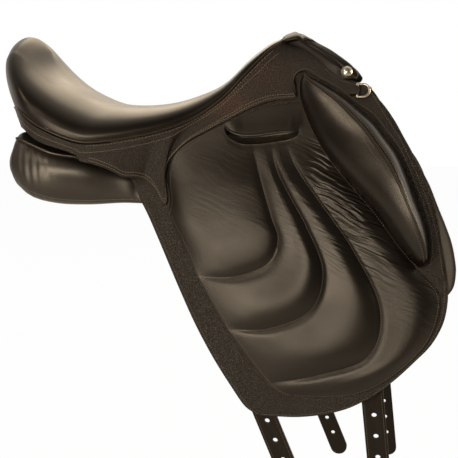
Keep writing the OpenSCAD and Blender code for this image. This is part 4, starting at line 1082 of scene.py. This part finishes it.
def dressedCopy(node, body, coats, slotName, rounding):
    first, *rest = node.split("_")
    name = first + "".join(word.title() for word in rest)
    piece = newPiece(name, frame["nodes"][node].data.copy())
    with editing(piece):
        bpy.ops.mesh.customdata_custom_splitnormals_clear()
        bpy.ops.mesh.remove_doubles(threshold=copyRules["merge"] * mm)
        bpy.ops.mesh.select_all(action="SELECT")
        bpy.ops.mesh.dissolve_limited(angle_limit=math.radians(copyRules["flat"]))
    flat = max(piece.data.polygons, key=lambda p: p.area).normal.copy()
    # faces that turn away from the largest face take the second coat; on the straps that is the painted edge highlight
    if len(coats) > 1:
        piece.data.materials.append(None)
        for p in piece.data.polygons:
            p.material_index = int(abs(p.normal.dot(flat)) < copyRules["rim"])
    if rounding:
        roundEdges(piece, rounding)
    return finishPiece(piece, coats, body, [node], copyRules["smooth"])


copies = [dressedCopy(node, *look) for node, look in copySet.items()]
print("fittings, straps and inner pieces made")

# finishes of the solids that stay as they are
solidSet = {"birchPly": ["tree"],
            "barSteel": ["head_plate", "tree_springs", "tree_rivets", "stirrup_bar_right", "stirrup_bar_left",
                         "stirrup_catch_right", "stirrup_catch_left", "catch_pins", "bar_rivets"]}
for coat, nodes in solidSet.items():
    for node in nodes:
        solid = frame["nodes"][node]
        solid.data.materials.clear()
        solid.data.materials.append(finishes[coat])


# a row of stitches that keeps its distance in mm from one edge of a surface
def edgeRow(shape, edge, start, end, steps, gap, pitch):
    at = np.linspace(start, end, steps)
    first, last = (0, 1) if edge in ("top", "rear") else (1, 0)

    def place(k):
        return (at, 0 * at + k) if edge in ("top", "bottom") else (0 * at + k, at)

    run = np.linalg.norm(shape(*place(last)) - shape(*place(first)), axis=1)
    inside = first + (last - first) * np.clip(gap / np.maximum(run, 1), 0, 0.5)
    return stitchRow(shape, *place(inside), pitch=pitch)


# sewing along edges: thread and pitch, then for each row its surface, edge, start, end, steps and distance
rowLong = skirtSet["split"] / lastRow
stripFrom, stripEnd = skirtSet["split"] + 0.02, 0.995
stripTop = mix(stripFrom, stripEnd, 120 / 599)  # the upper row leaves out 120 of the strip's 599 steps
edgeSet = {
    "weltSewing": ("tanThread", 4.2, [(skirtShape, "top", 4.4 * rowLong, 10.4 * rowLong, 500, 1.6)]),
    "stripSewing": ("darkThread", 3.1, [
        (skirtShape, "bottom", stripFrom, stripEnd, 600, 2.6), (skirtShape, "top", stripTop, stripEnd, 480, 2.8)]),
    "skirtSewing": ("tanThread", 3.1, [
        (skirtShape, "top", 1.2 * rowLong, 10.6 * rowLong, 700, 9.5),
        (skirtShape, "bottom", 4.6 * rowLong, 10.9 * rowLong, 900, 3.0),
        (skirtShape, "bottom", 4.6 * rowLong, 10.9 * rowLong, 900, 6.5)]),
    "flapSewing": ("darkThread", 3.1, [
        (flapShape, "rear", 0.2, 0.985, 500, 4.0), (flapShape, "front", 0.2, 0.985, 500, 4.0),
        (flapShape, "bottom", 0.03, 0.97, 300, 4.0)]),
    "padSewing": ("darkThread", 3.1, [
        (padShape, "rear", 0.2, 0.985, 500, 3.0), (padShape, "front", 0.54, 0.985, 300, 3.0),
        (padShape, "bottom", 0.02, 0.98, 400, 3.0)])}


# other sewing: start, end and steps of its rows, and where they lie
sewSet = dict(
    quilt=(0.2, 0.98, 500), block=(0.03, 0.97, 400), panel=(0.12, 0.5, 400), strap=(0.06, 0.95, 200),
    blockRows=[(0.035, (-0.6, -0.7, 0)), (0.54, (0, -1, 0)), (0.66, (0.3, -1, 0))],  # place and outward direction
    panelAt=0.215, strapAt=(0.1, 0.9))


def sewEdges():
    for name, (thread, pitch, rows) in edgeSet.items():
        stitchPiece(name, [edgeRow(*row, pitch) for row in rows], thread)


def sewQuilt():
    v = np.linspace(*sewSet["quilt"])
    stitchPiece("quiltSewing", [stitchRow(padShape, 0 * v + k / channels, v) for k in range(1, channels)], "darkThread")


def sewBlocks():
    v = np.linspace(*sewSet["block"])
    rows = [stitchRow(blockShape, 0 * v + u, v, outward=way) for u, way in sewSet["blockRows"]]
    stitchPiece("blockSewing", rows, "darkThread")


def sewPanels():
    u = np.linspace(*sewSet["panel"])
    stitchPiece("panelSewing", [stitchRow(panelShape, u, 0 * u + sewSet["panelAt"])], "tanThread")


def sewStraps():
    for piece in copies:
        if not piece.name.startswith("billet"):
            continue
        co = pointsOf(piece) / mm
        turn = np.linalg.svd(co - co.mean(axis=0), full_matrices=False)[2]
        turn[2] *= 1 if (turn[2][1] < 0) == (co[:, 1].mean() < 0) else -1
        low, high = (co @ turn.T).min(axis=0), (co @ turn.T).max(axis=0)

        def face(u, v):
            return (mix(low[0], high[0], u[:, None]) * turn[0] + mix(low[1], high[1], v[:, None]) * turn[1]
                    + high[2] * turn[2])

        u = np.linspace(*sewSet["strap"])
        rows = [stitchRow(face, u, 0 * u + s, outward=turn[2]) for s in sewSet["strapAt"]]
        stitchPiece(piece.name + "Sewing", rows, "darkThread", body=piece["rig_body"], both=False)


for sew in (sewEdges, sewQuilt, sewBlocks, sewPanels, sewStraps):
    sew()
print("sewing done")

# pale floor, soft lamps and a white surround, which the leather mirrors as a dim room with a bright backdrop
stageSet = dict(
    glow=(1, 0.91, 0.8), floor=-0.46, size=14, tone=(0.84, 0.84, 0.84, 1), rough=0.8,
    white=0.97, floorGlow=0.3, ambient=0.28, backdrop=(0.15, 1), backdropSpan=(-0.3, 0.35), aim=(0.13, 0, 0),
    lamps=[  # place, width, height, power and colour
        ((-1, -1.35, 1.5), 0.5, 0.5, 10, (1, 0.89, 0.75)), ((0.05, -2.1, 0.68), 0.5, 0.4, 7, (1, 0.91, 0.78)),
        ((1.7, 0, 0.5), 0.8, 0.8, 19, (1, 0.88, 0.74)), ((-0.2, 1.9, 1.5), 1.6, 1.6, 18, (1, 0.8, 0.54)),
        ((-0.6, -2.05, 0.5), 0.9, 0.4, 19, (1, 0.91, 0.78)), ((-1, -1.85, -0.05), 0.5, 0.5, 10, (1, 0.9, 0.77))])


# white to the camera, warm to everything else
def stageGlow(tree, path):
    return mixColour(tree, path["Is Camera Ray"], stageSet["glow"], (1, 1, 1))


def makeFloor():
    bpy.ops.object.select_all(action="DESELECT")
    bpy.ops.mesh.primitive_plane_add(size=stageSet["size"], location=(0, 0, stageSet["floor"]))
    floor = bpy.context.object
    floor.name = "floor"
    bpy.ops.object.transform_apply(location=True)
    tree, skin = newMaterial("paleFloor")
    feed(tree, skin, {"Base Color": stageSet["tone"], "Roughness": stageSet["rough"]})
    path = addNode(tree, "LightPath").outputs
    glow = addNode(tree, "Emission", {"Color": stageGlow(tree, path), "Strength": 1.0})
    dim = mathNode(tree, "MULTIPLY", path["Is Glossy Ray"], stageSet["floorGlow"])
    full = mathNode(tree, "MULTIPLY", path["Is Camera Ray"], stageSet["white"])
    share = mathNode(tree, "MAXIMUM", dim, full)
    both = addNode(tree, "MixShader", {0: share, 1: skin.outputs[0], 2: glow.outputs[0]}).outputs[0]
    feed(tree, tree.nodes["Material Output"], {"Surface": both})
    floor.data.materials.append(finishes["paleFloor"])


def makeLight():
    world = bpy.data.worlds.new("studio")
    bpy.context.scene.world = world
    world.use_nodes = True
    tree = world.node_tree
    path = addNode(tree, "LightPath").outputs
    way = addNode(tree, "SeparateXYZ", {0: addNode(tree, "TexCoord").outputs["Generated"]}).outputs["Y"]
    room = remap(tree, way, stageSet["backdropSpan"], stageSet["backdrop"])
    mirror = remap(tree, path["Is Glossy Ray"], (0.0, 1.0), (stageSet["ambient"], room))
    feed(tree, tree.nodes["Background"], {"Color": stageGlow(tree, path),
                                          "Strength": mathNode(tree, "MAXIMUM", path["Is Camera Ray"], mirror)})
    for place, wide, tall, power, colour in stageSet["lamps"]:
        bpy.ops.object.light_add(type="AREA", location=place)
        lamp = bpy.context.object
        aimAt(lamp, place, stageSet["aim"])
        setAll(lamp.data, dict(shape="RECTANGLE", size=wide, size_y=tall, energy=power, color=colour))


makeFloor()
makeLight()
print("stage made")
